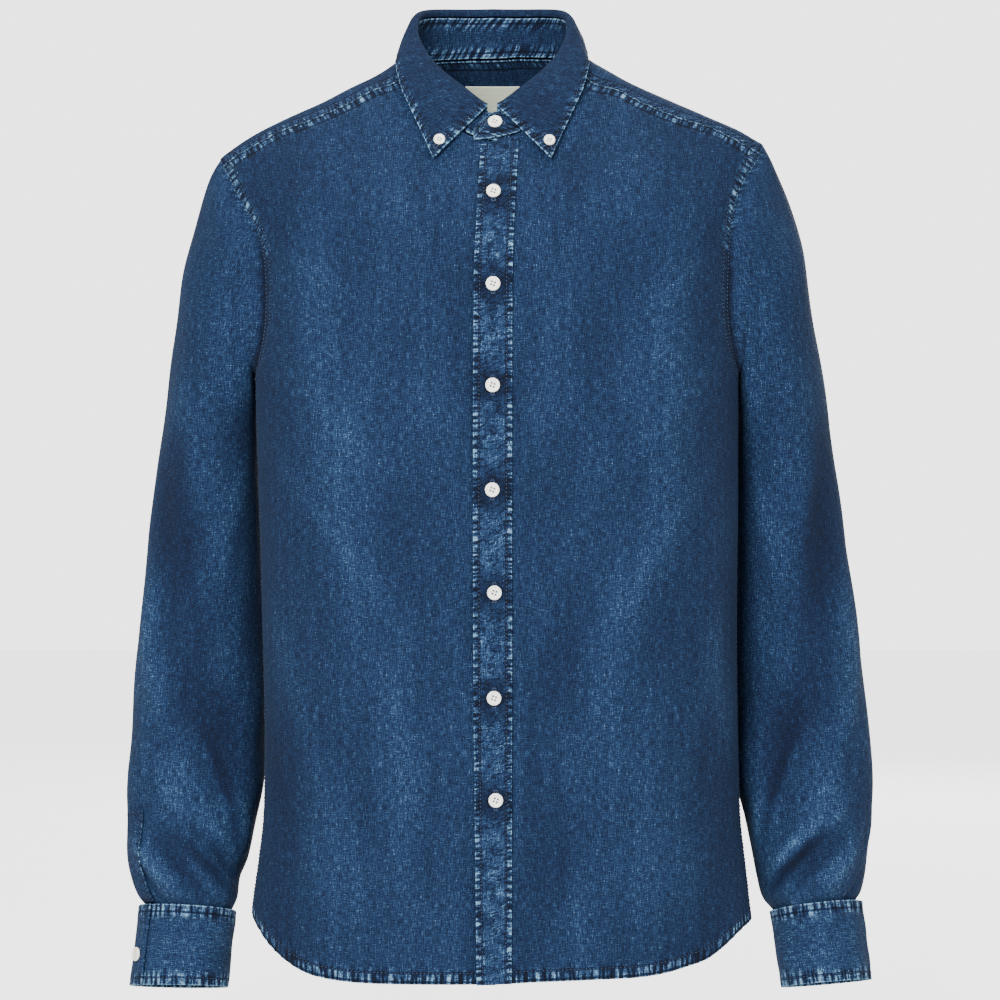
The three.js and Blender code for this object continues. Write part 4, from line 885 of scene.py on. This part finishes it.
    # the weave stands out as twill lines about 1.6 mm apart, drawn coarse enough to show
    twill = addNode(tree, "ShaderNodeMapping", {"Scale": (1000, 1000, 1000), "Rotation": (0, 0, 1.1)},
                    {"Vector": weave}).outputs[0]
    height = addNode(tree, "ShaderNodeTexWave", {
        "wave_profile": "SIN", "bands_direction": "X", "Scale": 0.20, "Distortion": 0.8, "Detail": 1.0},
        {"Vector": twill}).outputs["Fac"]
    height = addNode(tree, "ShaderNodeMath", {"operation": "MULTIPLY", 1: 0.06}, {0: height}).outputs[0]
    stands = [(pattern["warp"], 0.16), (pattern["grain"], 0.12), (gathered, 0.30)]
    for source, amount in stands + [(shadedGroove, -0.35) for shadedGroove in shadedGrooves]:
        height = addNode(tree, "ShaderNodeMath", {"operation": "MULTIPLY_ADD", 1: amount},
                         {0: source, 2: height}).outputs[0]
    bump = addNode(tree, "ShaderNodeBump", {"Strength": 0.8, "Distance": 0.001}, {"Height": height})
    tree.links.new(bump.outputs[0], shader.inputs["Normal"])
    rough = addNode(tree, "ShaderNodeMapRange", {1: 0.2, 2: 0.9, 3: 0.95, 4: 0.78}, {0: tone})
    tree.links.new(rough.outputs[0], shader.inputs["Roughness"])
    shader.inputs["Specular IOR Level"].default_value = 0.16
    shader.inputs["Sheen Weight"].default_value = denim["sheen"]
    shader.inputs["Sheen Roughness"].default_value = 0.6
    shader.inputs["Sheen Tint"].default_value = linear("#7f9cc4")
    return made


denims = {name: denimFinish("stoneWashedDenim" + name, **values) for name, values in finishes.items()}


# Core-spun sewing thread in indigo, slightly glossy beside the cloth: each stitch is a raised grain.
def threadFinish(name, dark, light):
    made, tree, shader = newMaterial(name)
    place = addNode(tree, "ShaderNodeTexCoord").outputs["Object"]
    ply = addNode(tree, "ShaderNodeTexNoise", {"Scale": 900.0, "Detail": 2.0}, {"Vector": place}).outputs[0]
    ramp = addNode(tree, "ShaderNodeValToRGB", {}, {0: ply})
    rampStops(ramp, [(0.3, dark), (0.7, light)])
    tree.links.new(ramp.outputs[0], shader.inputs["Base Color"])
    bump = addNode(tree, "ShaderNodeBump", {"Strength": 0.5, "Distance": 0.0004}, {"Height": ply})
    tree.links.new(bump.outputs[0], shader.inputs["Normal"])
    rough = addNode(tree, "ShaderNodeMapRange", {1: 0.3, 2: 0.7, 3: 0.75, 4: 0.55}, {0: ply})
    tree.links.new(rough.outputs[0], shader.inputs["Roughness"])
    return made


navyThread = threadFinish("navySewingThread", "#14213a", "#2b4165")


# Polyester shirt button, turned and polished: creamy white with faint clouds and soft gloss.
def buttonFinish():
    made, tree, shader = newMaterial("polishedWhiteButton")
    place = addNode(tree, "ShaderNodeTexCoord").outputs["Object"]
    cloud = addNode(tree, "ShaderNodeTexNoise", {"Scale": 220.0, "Detail": 3.0, "Distortion": 0.6},
                    {"Vector": place}).outputs[0]
    ramp = addNode(tree, "ShaderNodeValToRGB", {}, {0: cloud})
    rampStops(ramp, [(0.25, "#ecece0"), (0.75, "#fdfdf6")])
    # painted shade: the four sunk holes are painted dark grey
    shadedPit = addNode(tree, "ShaderNodeAttribute", {"attribute_name": "shadedPit"}).outputs["Fac"]
    blend = addNode(tree, "ShaderNodeMix", {"data_type": "RGBA"}, {0: shadedPit, 6: ramp.outputs[0]})
    blend.inputs[7].default_value = linear("#3d4350")
    tree.links.new(blend.outputs[2], shader.inputs["Base Color"])
    rough = addNode(tree, "ShaderNodeMapRange", {1: 0.3, 2: 0.7, 3: 0.42, 4: 0.28}, {0: cloud})
    tree.links.new(rough.outputs[0], shader.inputs["Roughness"])
    bump = addNode(tree, "ShaderNodeBump", {"Strength": 0.2, "Distance": 0.0003}, {"Height": cloud})
    tree.links.new(bump.outputs[0], shader.inputs["Normal"])
    shader.inputs["Subsurface Weight"].default_value = 0.08
    shader.inputs["Subsurface Radius"].default_value = (0.001, 0.0009, 0.0007)
    return made


# Woven damask label, plain: fine satin ribs in a pale greenish beige.
def labelFinish():
    made, tree, shader = newMaterial("wovenSatinLabel")
    weave = addNode(tree, "ShaderNodeUVMap", {"uv_map": "weave"}).outputs[0]
    place = addNode(tree, "ShaderNodeMapping", {"Scale": (1000, 1000, 1000)}, {"Vector": weave})
    ribs = addNode(tree, "ShaderNodeTexWave", {"bands_direction": "Y", "Scale": 0.45, "Distortion": 0.3},
                   {"Vector": place.outputs[0]}).outputs["Fac"]   # ribs 0.7 mm apart
    slub = addNode(tree, "ShaderNodeTexNoise", {"Scale": 0.8, "Detail": 3.0},
                   {"Vector": place.outputs[0]}).outputs[0]
    ramp = addNode(tree, "ShaderNodeValToRGB", {}, {0: slub})
    rampStops(ramp, [(0.3, "#b9c3ab"), (0.7, "#d3dac4")])
    tree.links.new(ramp.outputs[0], shader.inputs["Base Color"])
    bump = addNode(tree, "ShaderNodeBump", {"Strength": 0.5, "Distance": 0.0002}, {"Height": ribs})
    tree.links.new(bump.outputs[0], shader.inputs["Normal"])
    rough = addNode(tree, "ShaderNodeMapRange", {1: 0.0, 2: 1.0, 3: 0.65, 4: 0.5}, {0: ribs})
    tree.links.new(rough.outputs[0], shader.inputs["Roughness"])
    return made


whiteButton, satinLabel = buttonFinish(), labelFinish()
print("materials ready", len(bpy.data.materials))


def fadeIn(distance, reach):
    # nothing at the edge, all of it from that reach inwards
    return ease(distance / reach)


def foldSum(folds, across, down):
    # every fold of a list added up: its bell times how far it stands out
    total = np.zeros(np.broadcast(across, down).shape)
    for *line, stand in folds:
        total += stand * foldShare(line, across, down)
    return total


def towardsEdge(across, down, sides):
    # distance to the nearest of the named edges
    reaches = {"start": across, "end": across[:, -1:] - across, "top": down, "bottom": down[-1:] - down}
    return np.min([np.broadcast_to(reaches[side], across.shape) for side in sides], axis=0)


def creaseShade(fromSeam, z, felled=0.0):
    # low on the armhole the sleeve presses on the body: less gathering there, and a painted shadow along
    # the crease there and below the underarm; higher up the felled seam allowance lies under the cloth and
    # rubs paler
    low = ease((-120 - z) / 50) * ease((z + 262) / 12)
    below = ease((-250 - z) / 12)
    near = np.exp(-(fromSeam / 14) ** 2)
    # painted shadow: dark lines along the seam low on the armhole and below the underarm
    tone = -0.42 * low * np.exp(-(fromSeam / 3.5) ** 2) - 0.30 * below * np.exp(-(fromSeam / 2.0) ** 2)
    tone += felled * (1 - low) * (1 - below) * (1 - ease((fromSeam - 10.5) / 2))
    return 1 - (0.85 * low + 0.6 * below) * near, tone


# Fronts: soft drag lines from the armholes and loose upright folds above the hem. A fold is from
# x z, to x z, half width, how far it stands out; a pucker is how strong, how far in, how high.
fronts = {
    "cells": (62, 205), "crumple": 0.75, "crumpleSize": 62, "pucker": (1.1, 10.5, 0.4), "felled": 0.12,
    "folds": {
        -1: [(-186, -300, -60, -470, 9, 1.2), (-180, -230, -90, -330, 8, 1.0),
             (-184, -420, -120, -640, 10, 1.3), (-120, -560, -104, -725, 8, 1.1),
             (-150, -600, -160, -715, 7, 1.0), (-40, -560, -36, -728, 7, 0.9),
             (-172, -150, -110, -190, 7, 0.9), (-185, -520, -150, -690, 8, -1.2),
             (-90, -90, -50, -170, 10, 0.8)],
        1: [(186, -300, 70, -480, 9, 1.2), (182, -230, 95, -330, 8, 1.0),
            (188, -420, 130, -640, 10, 1.2), (120, -560, 112, -725, 8, 1.1),
            (150, -600, 158, -710, 7, 1.0), (28, -480, 34, -728, 6, -1.3),
            (62, -600, 66, -728, 6, 1.2), (175, -150, 120, -200, 7, 0.9),
            (90, -95, 55, -170, 10, 0.8)]}}
for side, name, facing in ((-1, "front_right", 1), (1, "front_left", -1)):
    columns, rows = fronts["cells"]
    grid = frontSurface(side, shareList(columns, 0.005), shareList(rows, 0.0012))
    across, down = arcs(grid)
    x, z = grid[..., 0], grid[..., 2]
    relief = fronts["crumple"] * softNoise(x, z, fronts["crumpleSize"], 5 + side, 2.2)
    relief += foldSum(fronts["folds"][side], x, z)
    relief *= fadeIn(towardsEdge(across, down, ("end", "top")), 22)
    if side > 0:
        relief *= fadeIn(across - 30, 16)   # the left front lies flat under the band
    # painted shadow in the armhole crease, and the felled seam rubbed paler higher up
    quiet, paintedCrease = creaseShade(across[:, -1:] - across, z, fronts["felled"])
    clothPiece("denim_" + name, [name], grid, denims["Body"], facing, edges=("top", "bottom", "end"),
               relief=relief, form=0.5 * foldSum([line for back, *line in bodyFolds if not back], x, z),
               shade=paintedCrease - 0.06 * ease((np.abs(x) - 120) / 70),   # painted shade: the sides, turning away from the light, are painted darker
               pucker=fronts["pucker"], quiet=quiet, upright=True, grainStart=side * grid[:, :1, 0])

# Back: two long folds from the shoulder blades, small ones at the waist and over the hem.
back = {
    "cells": (128, 190), "crumple": 0.85, "crumpleSize": 70, "pucker": (1.1, 9.5, 0.4),
    "folds": [(-180, -210, -60, -330, 9, 1.4), (182, -220, 70, -340, 9, 1.3),
              (-176, -330, -40, -430, 9, 1.2), (178, -340, 30, -450, 9, 1.2),
              (-20, -120, -14, -330, 9, -1.0), (24, -120, 30, -300, 8, 0.9),
              (-130, -520, -120, -722, 9, 1.3), (130, -520, 120, -720, 9, 1.3),
              (-84, -560, -90, -725, 7, -1.0), (10, -560, 16, -728, 8, 1.1),
              (165, -560, 150, -700, 8, 1.1), (-165, -560, -158, -700, 8, 1.1)]}
allEdges = ("top", "bottom", "start", "end")
columns, rows = back["cells"]
grid = backSurface(shareList(columns, 0.003), shareList(rows, 0.0012))
x, z = grid[..., 0], grid[..., 2]
relief = back["crumple"] * softNoise(x, z, back["crumpleSize"], 11, 2.2) + foldSum(back["folds"], x, z)
relief *= fadeIn(towardsEdge(*arcs(grid), ("start", "end", "top")), 22)
form = 0.5 * foldSum([line for behind, *line in bodyFolds if behind], x, z)
clothPiece("denim_back", ["back"], grid, denims["Body"], edges=allEdges, upright=True,
           relief=relief, form=form, pucker=back["pucker"], grainMiddle=0.5)

# Yoke: lies close over the shoulders, with short puckers along both seams.
yoke = {"cells": (156, 46), "crumple": 0.6, "crumpleSize": 48, "pucker": (0.75, 8.5, 0.4)}
columns, rows = yoke["cells"]
grid = yokeSurface(shareList(columns, 0.002), shareList(rows, 0.006))
across, down = arcs(grid)
relief = yoke["crumple"] * softNoise(grid[..., 0], down, yoke["crumpleSize"], 17)
relief *= fadeIn(towardsEdge(across, down, allEdges), 20)
clothPiece("denim_yoke", ["yoke"], grid, denims["Body"], edges=allEdges, relief=relief,
           pucker=yoke["pucker"], grainMiddle=0.5)

# Sleeves: long slanting folds to the crook of the elbow, tucks and puckers over the cuff. Folds
# and creases go by the turn in degrees and the height.
sleeves = {
    "cells": (122, 215), "crumple": 0.9, "crumpleSize": 58, "pucker": (0.45, 5.0, 0.3), "meanRadius": 52,
    "folds": [(150, -300, 95, -420, 12, 1.6), (60, -330, 110, -450, 9, -1.5),
              (15, -470, 70, -585, 9, -1.6), (100, -520, 150, -600, 10, 1.6),
              (50, -560, 95, -640, 8, 1.8), (-15, -250, -70, -360, 11, 1.4),
              (-30, -430, -90, -520, 11, 1.6), (-110, -380, -150, -480, 12, -1.4),
              (-80, -600, -130, -665, 8, -1.6), (10, -600, 45, -655, 7, 1.5),
              (-10, -520, 15, -640, 9, -1.4), (120, -200, 150, -300, 12, 1.4),
              (45, -291, 98, -504, 11, -2.2), (98, -504, 142, -594, 11, -2.4),
              (74, -610, 156, -664, 4.6, -4.2), (76, -596, 150, -650, 6.5, 2.6),
              (70, -632, 140, -682, 6, 2.2), (62, -560, 120, -618, 8, 1.8),
              (30, -640, 60, -684, 5, -1.8)],
    # painted shade along creases low on the sleeve, each with a painted highlight on the ridge of the fold
    # over it
    "paintedCreaseShades": [(98, -530, 146, -632, 5, -0.17), (89, -530, 137, -632, 6, 0.08),
                (77, -617, 146, -666, 4.5, -0.22), (84, -606, 150, -656, 5, 0.10)],
    "tucks": (118, 96, -58, -78, 10, -24), "tuckRise": 1.5}   # turns of the pleats sewn into the cuff
for side, name, facing in ((-1, "sleeve_right", 1), (1, "sleeve_left", -1)):
    columns, rows = sleeves["cells"]
    share = shareList(rows, 0.0015)
    grid, degrees, form = sleeveSurface(side, np.arange(columns) / columns, share)
    length = arcs(grid, True)[1][:, :-1]
    x, y, z = np.moveaxis(grid, -1, 0)
    relief = sleeves["crumple"] * softNoise(degrees * 1.05, z, sleeves["crumpleSize"], 23 + side, 1.6)
    relief += foldSum(sleeves["folds"], degrees + 4 * side, z + 6 * side)
    relief *= fadeIn(length, 26) * (1 - 0.75 * ease((share - 0.9) / 0.08))[:, None]
    relief *= fadeIn(180 - np.abs(degrees), 24)
    # warp threads run plumb down the arm: the turn round its middle line times the mean radius
    line = grid.mean(axis=1)[::-1]
    middleX, middleY = (np.interp(z, line[:, 2], line[:, k]) for k in (0, 1))
    around = np.unwrap(np.arctan2(middleY - y, side * (x - middleX)), axis=1)
    around += np.where(around[:, :1] < 0, 2 * np.pi, 0)
    threads = sleeves["meanRadius"] * np.concatenate([around, around[:, :1] - 2 * np.pi], axis=1)
    low = np.clip((share - 0.86) / 0.14, 0, 1)[:, None]
    sewn = 1 - ease((share - 0.975) / 0.02)[:, None]
    for turn in sleeves["tucks"]:
        relief += sleeves["tuckRise"] * np.exp(-((degrees - turn - 3 * low) / 5.0) ** 2) * low * sewn
    # painted shadow where the sleeve presses on the body low on the armhole
    quiet, paintedCrease = creaseShade(length, z)
    upper = share[:, None] <= 0.5
    # low on the sleeve: painted crease shades with painted highlights on their ridges
    shade = np.where(upper, paintedCrease, foldSum(sleeves["paintedCreaseShades"], degrees, z))
    clothPiece("denim_" + name, [name], grid, denims["Sleeve"], facing, closed=True,
               edges=("top", "bottom"), relief=relief, form=form, shade=shade, pucker=sleeves["pucker"],
               quiet=np.where(upper, quiet, 1.0), upright=True, threads=threads)

# Cuffs: two layers pressed flat, faded at the edges. Each is by side, turn of its edge, way round.
cuffs = {"right": (-1, 44, -1), "left": (1, -44, 1)}
for name, (side, edgeTurn, way) in cuffs.items():
    grid = cuffSurface(side, edgeTurn, way, shareList(118, 0.004), shareList(26, 0.02))
    across, down = arcs(grid)
    relief = 0.35 * softNoise(across, down, 26, 31 + side) * fadeIn(across[:, -1:] - across - 34, 20)
    clothPiece("denim_cuff_" + name, ["cuff_" + name], grid, denims["Cuff"], thick=1.7,
               edges=("top", "bottom"), relief=relief, pucker=(1.0, 11.0, 0.35), grainMiddle=0.5,
               warpAcross=True)

# Button band: folded strip whose puckers run across it, dark round each button.
band = {"cells": (14, 290), "thick": 1.4, "crumple": 0.28, "pucker": (1.0, 5.0, 0.35), "buttonOut": -1.8,
        "buttonHeights": (-104.2, -178, -258, -340.5, -421.5, -504.5, -585)}
columns, rows = band["cells"]
grid = bandSurface(shareList(columns, 0.03), shareList(rows, 0.001))
across, down = arcs(grid)
x, z = grid[..., 0], grid[..., 2]
near = np.abs(z[..., None] - np.array(band["buttonHeights"])).min(axis=2)
off = np.hypot(near, x - band["buttonOut"])
shade = 0.13 - 0.24 * np.exp(-(near / 17) ** 2) - 0.12 * np.exp(-(off / 9.5) ** 2)
shade += 0.09 * softNoise(x * 0.7, z, 11, 47)
relief = band["crumple"] * softNoise(x * 0.35, z, 15, 37)
relief *= fadeIn(towardsEdge(across, down, ("start", "end")), 5)
clothPiece("denim_front_band", ["front_band"], grid, denims["Band"], -1, thick=band["thick"],
           edges=("start", "end"), relief=relief, shade=shade, pucker=band["pucker"], grainMiddle=0.5)


def settled(grid, share, most):
    # the leaf's free edge let down towards the shoulders, by that many mm at most; the shoulder
    # under it is the ridge less reach times one minus the cosine of the lean
    x, y = grid[-1, :, 0], grid[-1, :, 1]
    back, z = y > 0, ridgeHeight(x)
    for _ in range(4):
        deep = np.where(back, smoothRead(bodyDepth, 2, z), smoothRead(bodyDepth, 1, z))
        section = (1 - (np.abs(x) / halfWidth(x, z)) ** bodyRoundness) ** (1 / bodyRoundness)
        lean = np.arcsin(np.clip(np.abs(y) / (deep * section), 0, 1))
        z = ridgeHeight(x) - np.where(back, backReach, frontReach) * (1 - np.cos(lean))
    fall = np.clip(grid[-1, :, 2] - z - 2.2, 0, most) * ease((y + 30) / 20)
    print("collar edge let down by up to", round(float(fall.max()), 2))
    return grid - (fall[None] * share[:, None] ** 2)[..., None] * np.array([0, 0, 1.0])


# Collar: a stand round the neck and a leaf rolled over it, buttoned down at its points.
collar = {"standThick": 1.5, "standPucker": (1.0, 10.0, 0.3), "standShade": 0.06, "leafThick": 1.7,
          "leafPucker": (1.0, 7.5, 0.35), "leafCrumple": 0.5, "letDown": 3.2}
grid = standSurface(shareList(190, 0.003), shareList(16, 0.03))
clothPiece("denim_collar_stand", ["collar_stand"], grid, denims["Collar"], thick=collar["standThick"],
           edges=allEdges, shade=collar["standShade"], pucker=collar["standPucker"], grainMiddle=0.5)
shares = np.concatenate([np.linspace(0, rollShare, 14), mix(rollShare, 1, shareList(26, 0.02))])
shares = np.unique(shares)
grid = settled(leafSurface(shareList(196, 0.0025), shares), shares, collar["letDown"])
across, down = arcs(grid)
relief = collar["leafCrumple"] * softNoise(across, down, 40, 43)
relief *= fadeIn(down[-1:] - down, 14) * fadeIn(down - 14, 14)
clothPiece("denim_collar_leaf", ["collar_leaf"], grid, denims["Collar"], thick=collar["leafThick"],
           edges=("bottom", "start", "end"), relief=relief, pucker=collar["leafPucker"], grainMiddle=0.5)

# Plackets over the sleeve slits, by the turn of their middle and half their width in degrees.
placket = {"turn": 36, "halfWidth": 12, "span": (0.715, 0.915), "thick": 1.3, "over": 2.4,
           "pucker": (0.4, 5.0, 0.3)}
for side, name, facing in ((-1, "right", -1), (1, "left", 1)):
    turn = -side * placket["turn"] + mix(-placket["halfWidth"], placket["halfWidth"], shareList(9, 0.03))
    at = (np.pi - np.radians(turn)) / (2 * np.pi)
    grid, degrees, form = sleeveSurface(side, at, mix(*placket["span"], shareList(48, 0.006)))
    grid = grid + gridNormals(grid, facing) * placket["over"]
    clothPiece("denim_sleeve_placket_" + name, ["sleeve_placket_" + name], grid, denims["Placket"], facing,
               thick=placket["thick"], edges=allEdges, form=form, pucker=placket["pucker"], grainMiddle=0.5)
print("cloth pieces ready")

# Plain label inside the neck.
grid = labelSurface(shareList(16, 0.03), shareList(10, 0.04))
label = clothPiece("woven_neck_label", ["neck_label"], grid, satinLabel, -1, thick=0.7)

# Lockstitch rows of each piece: edge, insets in mm, lengths left free at both ends.
stitchPitch = 3.1
cuffRows = [("top", (1.8, 11.0), (6, 2)), ("bottom", (6.0,), (6, 2)), ("start", (6.0,), (2, 6))]
placketRows = [("start", (1.8,), (2, 2)), ("end", (1.8,), (2, 2)), ("top", (1.8, 9.0), (2, 2))]
stitching = {
    "front_right": [("end", (1.8, 9.0), (4, 3)), ("bottom", (9.0,), (0, 2))],
    "front_left": [("end", (1.8, 9.0), (4, 3)), ("bottom", (9.0,), (26, 2))],
    "back": [("bottom", (9.0,), (2, 2)), ("start", (1.8, 9.0), (4, 3)), ("end", (1.8, 9.0), (4, 3))],
    "yoke": [("top", (1.8, 7.5), (4, 4)), ("bottom", (1.8, 7.5), (4, 4))],
    "front_band": [("start", (4.6,), (2, 3)), ("end", (4.6,), (2, 3))],
    "collar_leaf": [("bottom", (4.4,), (4.4, 4.4)), ("start", (4.4,), (2, 4.4)), ("end", (4.4,), (2, 4.4))],
    "collar_stand": [("bottom", (1.8,), (2, 2)), ("top", (4.4,), (6, 6))],
    "cuff_right": cuffRows, "cuff_left": cuffRows,
    "sleeve_placket_right": placketRows, "sleeve_placket_left": placketRows}
for piece, edges in stitching.items():
    lines = [stitchPlaces(*edgePath("denim_" + piece, edge, inset), stitchPitch, free)
             for edge, insets, free in edges for inset in insets]
    stitchMesh("stitching_" + piece, lines, navyThread)
    print("stitches on", piece, sum(len(line[0]) for line in lines))

# Buttons: turned discs with a raised rim and four holes, where the frame has them.
button = {"turns": 44, "rings": 26, "thick": 2.4, "sewnTurn": 0.35,
          "holeOut": 1.25, "holeRadius": 0.62, "holeDeep": 1.1}   # on a button of 5.75 mm radius


def buttonMesh(name, node):
    # a button turned round its own axis, as wide as the frame's and in its place
    spots = np.array([vertex.co[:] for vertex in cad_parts[node].data.vertices]) * 1000
    low, high = (np.array(corner) * 1000 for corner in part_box(node))
    middle = (low + high) / 2
    axis = np.linalg.svd(spots - spots.mean(axis=0), full_matrices=False)[2][2]
    outside = middle - np.array([middle[0] * 0.9, 0, middle[2]])
    axis = axis * np.sign(axis @ outside)
    radius = np.linalg.norm(np.cross(spots - middle, axis), axis=1).max()
    first = np.cross(axis, [0, 0, 1.0])
    first /= np.linalg.norm(first)
    second = np.cross(axis, first)
    size = radius / 5.75
    # one run from the middle of the foot, round the edge and over the rim to the middle of the face
    footOut = np.array([0, 0.5, 0.86])
    rimOut = np.array([0.95, 1.0, 0.985, 0.93, 0.86, 0.78, 0.70, 0.64])
    faceOut = np.linspace(0.58, 0, button["rings"])
    out = np.concatenate([footOut, rimOut, faceOut]) * radius
    rimUp = np.array([0.14, 0.42, 0.74, 0.95, 1.0, 0.97, 0.86, 0.76])
    up = np.concatenate([0 * footOut, rimUp, np.full(button["rings"], 0.72)])
    up = (up - 0.5) * button["thick"]
    turn = np.linspace(0, 2 * np.pi, button["turns"], endpoint=False)
    a, b = out[:, None] * np.cos(turn), out[:, None] * np.sin(turn)
    angle = button["sewnTurn"]
    ca, cb = a * np.cos(angle) - b * np.sin(angle), a * np.sin(angle) + b * np.cos(angle)
    fromHole = np.hypot(np.abs(ca) - button["holeOut"] * size, np.abs(cb) - button["holeOut"] * size)
    hole = 1 - ease((fromHole - button["holeRadius"] * size) / 0.3)
    hole[:len(footOut) + len(rimOut)] = 0
    height = up[:, None] - button["holeDeep"] * hole
    places = middle + a[..., None] * first + b[..., None] * second + height[..., None] * axis
    rows, columns = a.shape
    i, j = np.meshgrid(np.arange(rows - 1), np.arange(columns), indexing="ij")
    faces = np.stack([i * columns + j, i * columns + (j + 1) % columns,
                      (i + 1) * columns + (j + 1) % columns, (i + 1) * columns + j], axis=-1).reshape(-1, 4)
    places = places.reshape(-1, 3)
    faces = faces[:, ::-1] if facesInwards(places, faces) else faces
    # the holes' mask also paints them dark: painted shade
    made = meshFrom(name, places, faces, attributes=[("shadedPit", hole)])
    made.data.materials.append(whiteButton)
    bpy.context.view_layer.objects.active = made
    weld = made.modifiers.new("closeMiddle", "WELD")   # joins the middles of foot and face
    weld.merge_threshold = 0.00001
    with bpy.context.temp_override(object=made, active_object=made):
        bpy.ops.object.modifier_apply(modifier=weld.name)
    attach(made, "root")
    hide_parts(node)
    return middle, axis, first, second


buttonNodes = sorted(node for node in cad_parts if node.startswith("button"))
places = {node: buttonMesh("white_" + node, node) for node in buttonNodes}
print("buttons ready", len(places))

# Buttonholes: short stitches side by side on both lips of a slit, and a bar at each end.
buttonhole = {"length": 15.5, "lip": 1.25, "pitch": 0.75}


def nearestOn(cloth, spot):
    # the grid point of a piece's outer face nearest to a place, with its normal
    grid, normals = cloths[cloth]["grid"].reshape(-1, 3), cloths[cloth]["normals"].reshape(-1, 3)
    nearest = np.argmin(np.linalg.norm(grid - spot, axis=1))
    return grid[nearest], normals[nearest]


def buttonholeRows(cloth, spot, way):
    # stitches side by side along both lips, and four across each end
    surface, normal = nearestOn(cloth, spot)
    way = way - normal * (way @ normal)
    way /= np.linalg.norm(way)
    side = np.cross(normal, way)
    centre = spot - normal * ((spot - surface) @ normal)
    at = np.arange(-buttonhole["length"] / 2, buttonhole["length"] / 2, buttonhole["pitch"])
    middles = np.concatenate([centre + way * at[:, None] + side * s * buttonhole["lip"] for s in (-1, 1)])
    bar = side * np.linspace(-1, 1, 4)[:, None]
    ends = [centre + way * (s * buttonhole["length"] / 2) + bar for s in (-1, 1)]
    middles = np.concatenate([middles, *ends])
    middles = np.array([m + normal * ((nearestOn(cloth, m)[0] - m) @ normal) for m in middles])
    ways = np.concatenate([np.tile(side, (2 * len(at), 1)), np.tile(way, (8, 1))])
    return middles, ways, np.tile(normal, (len(middles), 1))


upright, level = np.array([0, 0, 1.0]), np.array([1.0, 0, 0])
holes = []
for node, (middle, axis, first, second) in places.items():
    if node == "button_stand":
        holes.append(buttonholeRows("denim_collar_stand", middle, level))
    elif node.startswith("button_collar"):
        aslant = np.array([-0.5 if node.endswith("right") else 0.5, 0, -1.0])
        holes.append(buttonholeRows("denim_collar_leaf", middle, aslant))
    elif node.startswith("button_cuff"):
        cuff = "denim_cuff_" + node.split("_")[-1]
        holes.append(buttonholeRows(cuff, middle, np.cross(axis, upright)))
    else:
        holes.append(buttonholeRows("denim_front_band", middle, upright))
stitchMesh("stitching_buttonholes", holes, navyThread, length=1.9, width=0.7, height=0.45)
print("buttonholes ready")

# Plain pale floor, soft studio light and the camera level with the middle of the shirt.
corners = np.array([(-8, -8, -0.8), (8, -8, -0.8), (8, 8, -0.8), (-8, 8, -0.8)]) * 1000
floor = meshFrom("pale_floor", corners, np.array([(0, 1, 2, 3)]), smooth=False)
floorFinish, tree, shader = newMaterial("paleStudioFloor")
place = addNode(tree, "ShaderNodeTexCoord").outputs["Object"]
mottle = addNode(tree, "ShaderNodeTexNoise", {"Scale": 0.8, "Detail": 2.0}, {"Vector": place}).outputs[0]
ramp = addNode(tree, "ShaderNodeValToRGB", {}, {0: mottle})
rampStops(ramp, [(0.3, "#a9a9a9"), (0.7, "#b1b1b1")])
tree.links.new(ramp.outputs[0], shader.inputs["Base Color"])
shader.inputs["Roughness"].default_value = 0.9
shader.inputs["Emission Color"].default_value = (1.0, 1.0, 1.0, 1.0)
watched = addNode(tree, "ShaderNodeLightPath").outputs["Is Camera Ray"]
glow = addNode(tree, "ShaderNodeMapRange", {3: 0.6, 4: 2.6}, {0: watched}).outputs[0]
tree.links.new(glow, shader.inputs["Emission Strength"])
floor.data.materials.append(floorFinish)

world = bpy.context.scene.world or bpy.data.worlds.new("studio")
bpy.context.scene.world = world
world.use_nodes = True
ambient = world.node_tree.nodes["Background"]
ambient.inputs[0].default_value = (1.0, 1.0, 1.0, 1.0)
ambient.inputs[1].default_value = 0.55
tree = world.node_tree
backdrop = addNode(tree, "ShaderNodeBackground", {"Color": (1.0, 1.0, 1.0, 1.0), "Strength": 3.2})
watched = addNode(tree, "ShaderNodeLightPath").outputs["Is Camera Ray"]
either = addNode(tree, "ShaderNodeMixShader", {},
                 {0: watched, 1: ambient.outputs[0], 2: backdrop.outputs[0]})
tree.links.new(either.outputs[0], tree.nodes["World Output"].inputs["Surface"])

studio = {   # place in metres, what it aims at, size in metres, watts
    "keyLight": ((-1.0, -3.0, 0.8), (0, 0, -0.35), 1.2, 185),
    "fillLight": ((1.5, -2.8, 0.0), (0, 0, -0.4), 1.6, 50),
    "topLight": ((0.1, -0.3, 2.2), (0, 0, -0.3), 1.2, 36),
    "rearLight": ((0.8, 2.8, 0.8), (0, 0, -0.35), 1.6, 90)}


def aim(thing, spot, target):
    # puts a lamp or the camera at a spot, looking at a target
    thing.location = spot
    thing.rotation_euler = (Vector(target) - Vector(spot)).to_track_quat("-Z", "Y").to_euler()


for name, (spot, target, size, watts) in studio.items():
    lamp = bpy.data.lights.new(name, "AREA")
    lamp.shape, lamp.size, lamp.energy = "SQUARE", size, watts
    shown = bpy.data.objects.new(name, lamp)
    bpy.context.scene.collection.objects.link(shown)
    aim(shown, spot, target)

lens = bpy.data.cameras.new("camera")
lens.lens, lens.sensor_width, lens.sensor_fit = 131.7, 36.0, "HORIZONTAL"
camera = bpy.data.objects.new("camera", lens)
bpy.context.scene.collection.objects.link(camera)
aim(camera, (0.0033, -3.0, -0.3485), (0.0033, 0, -0.3485))
bpy.context.scene.camera = camera

print("stage ready")
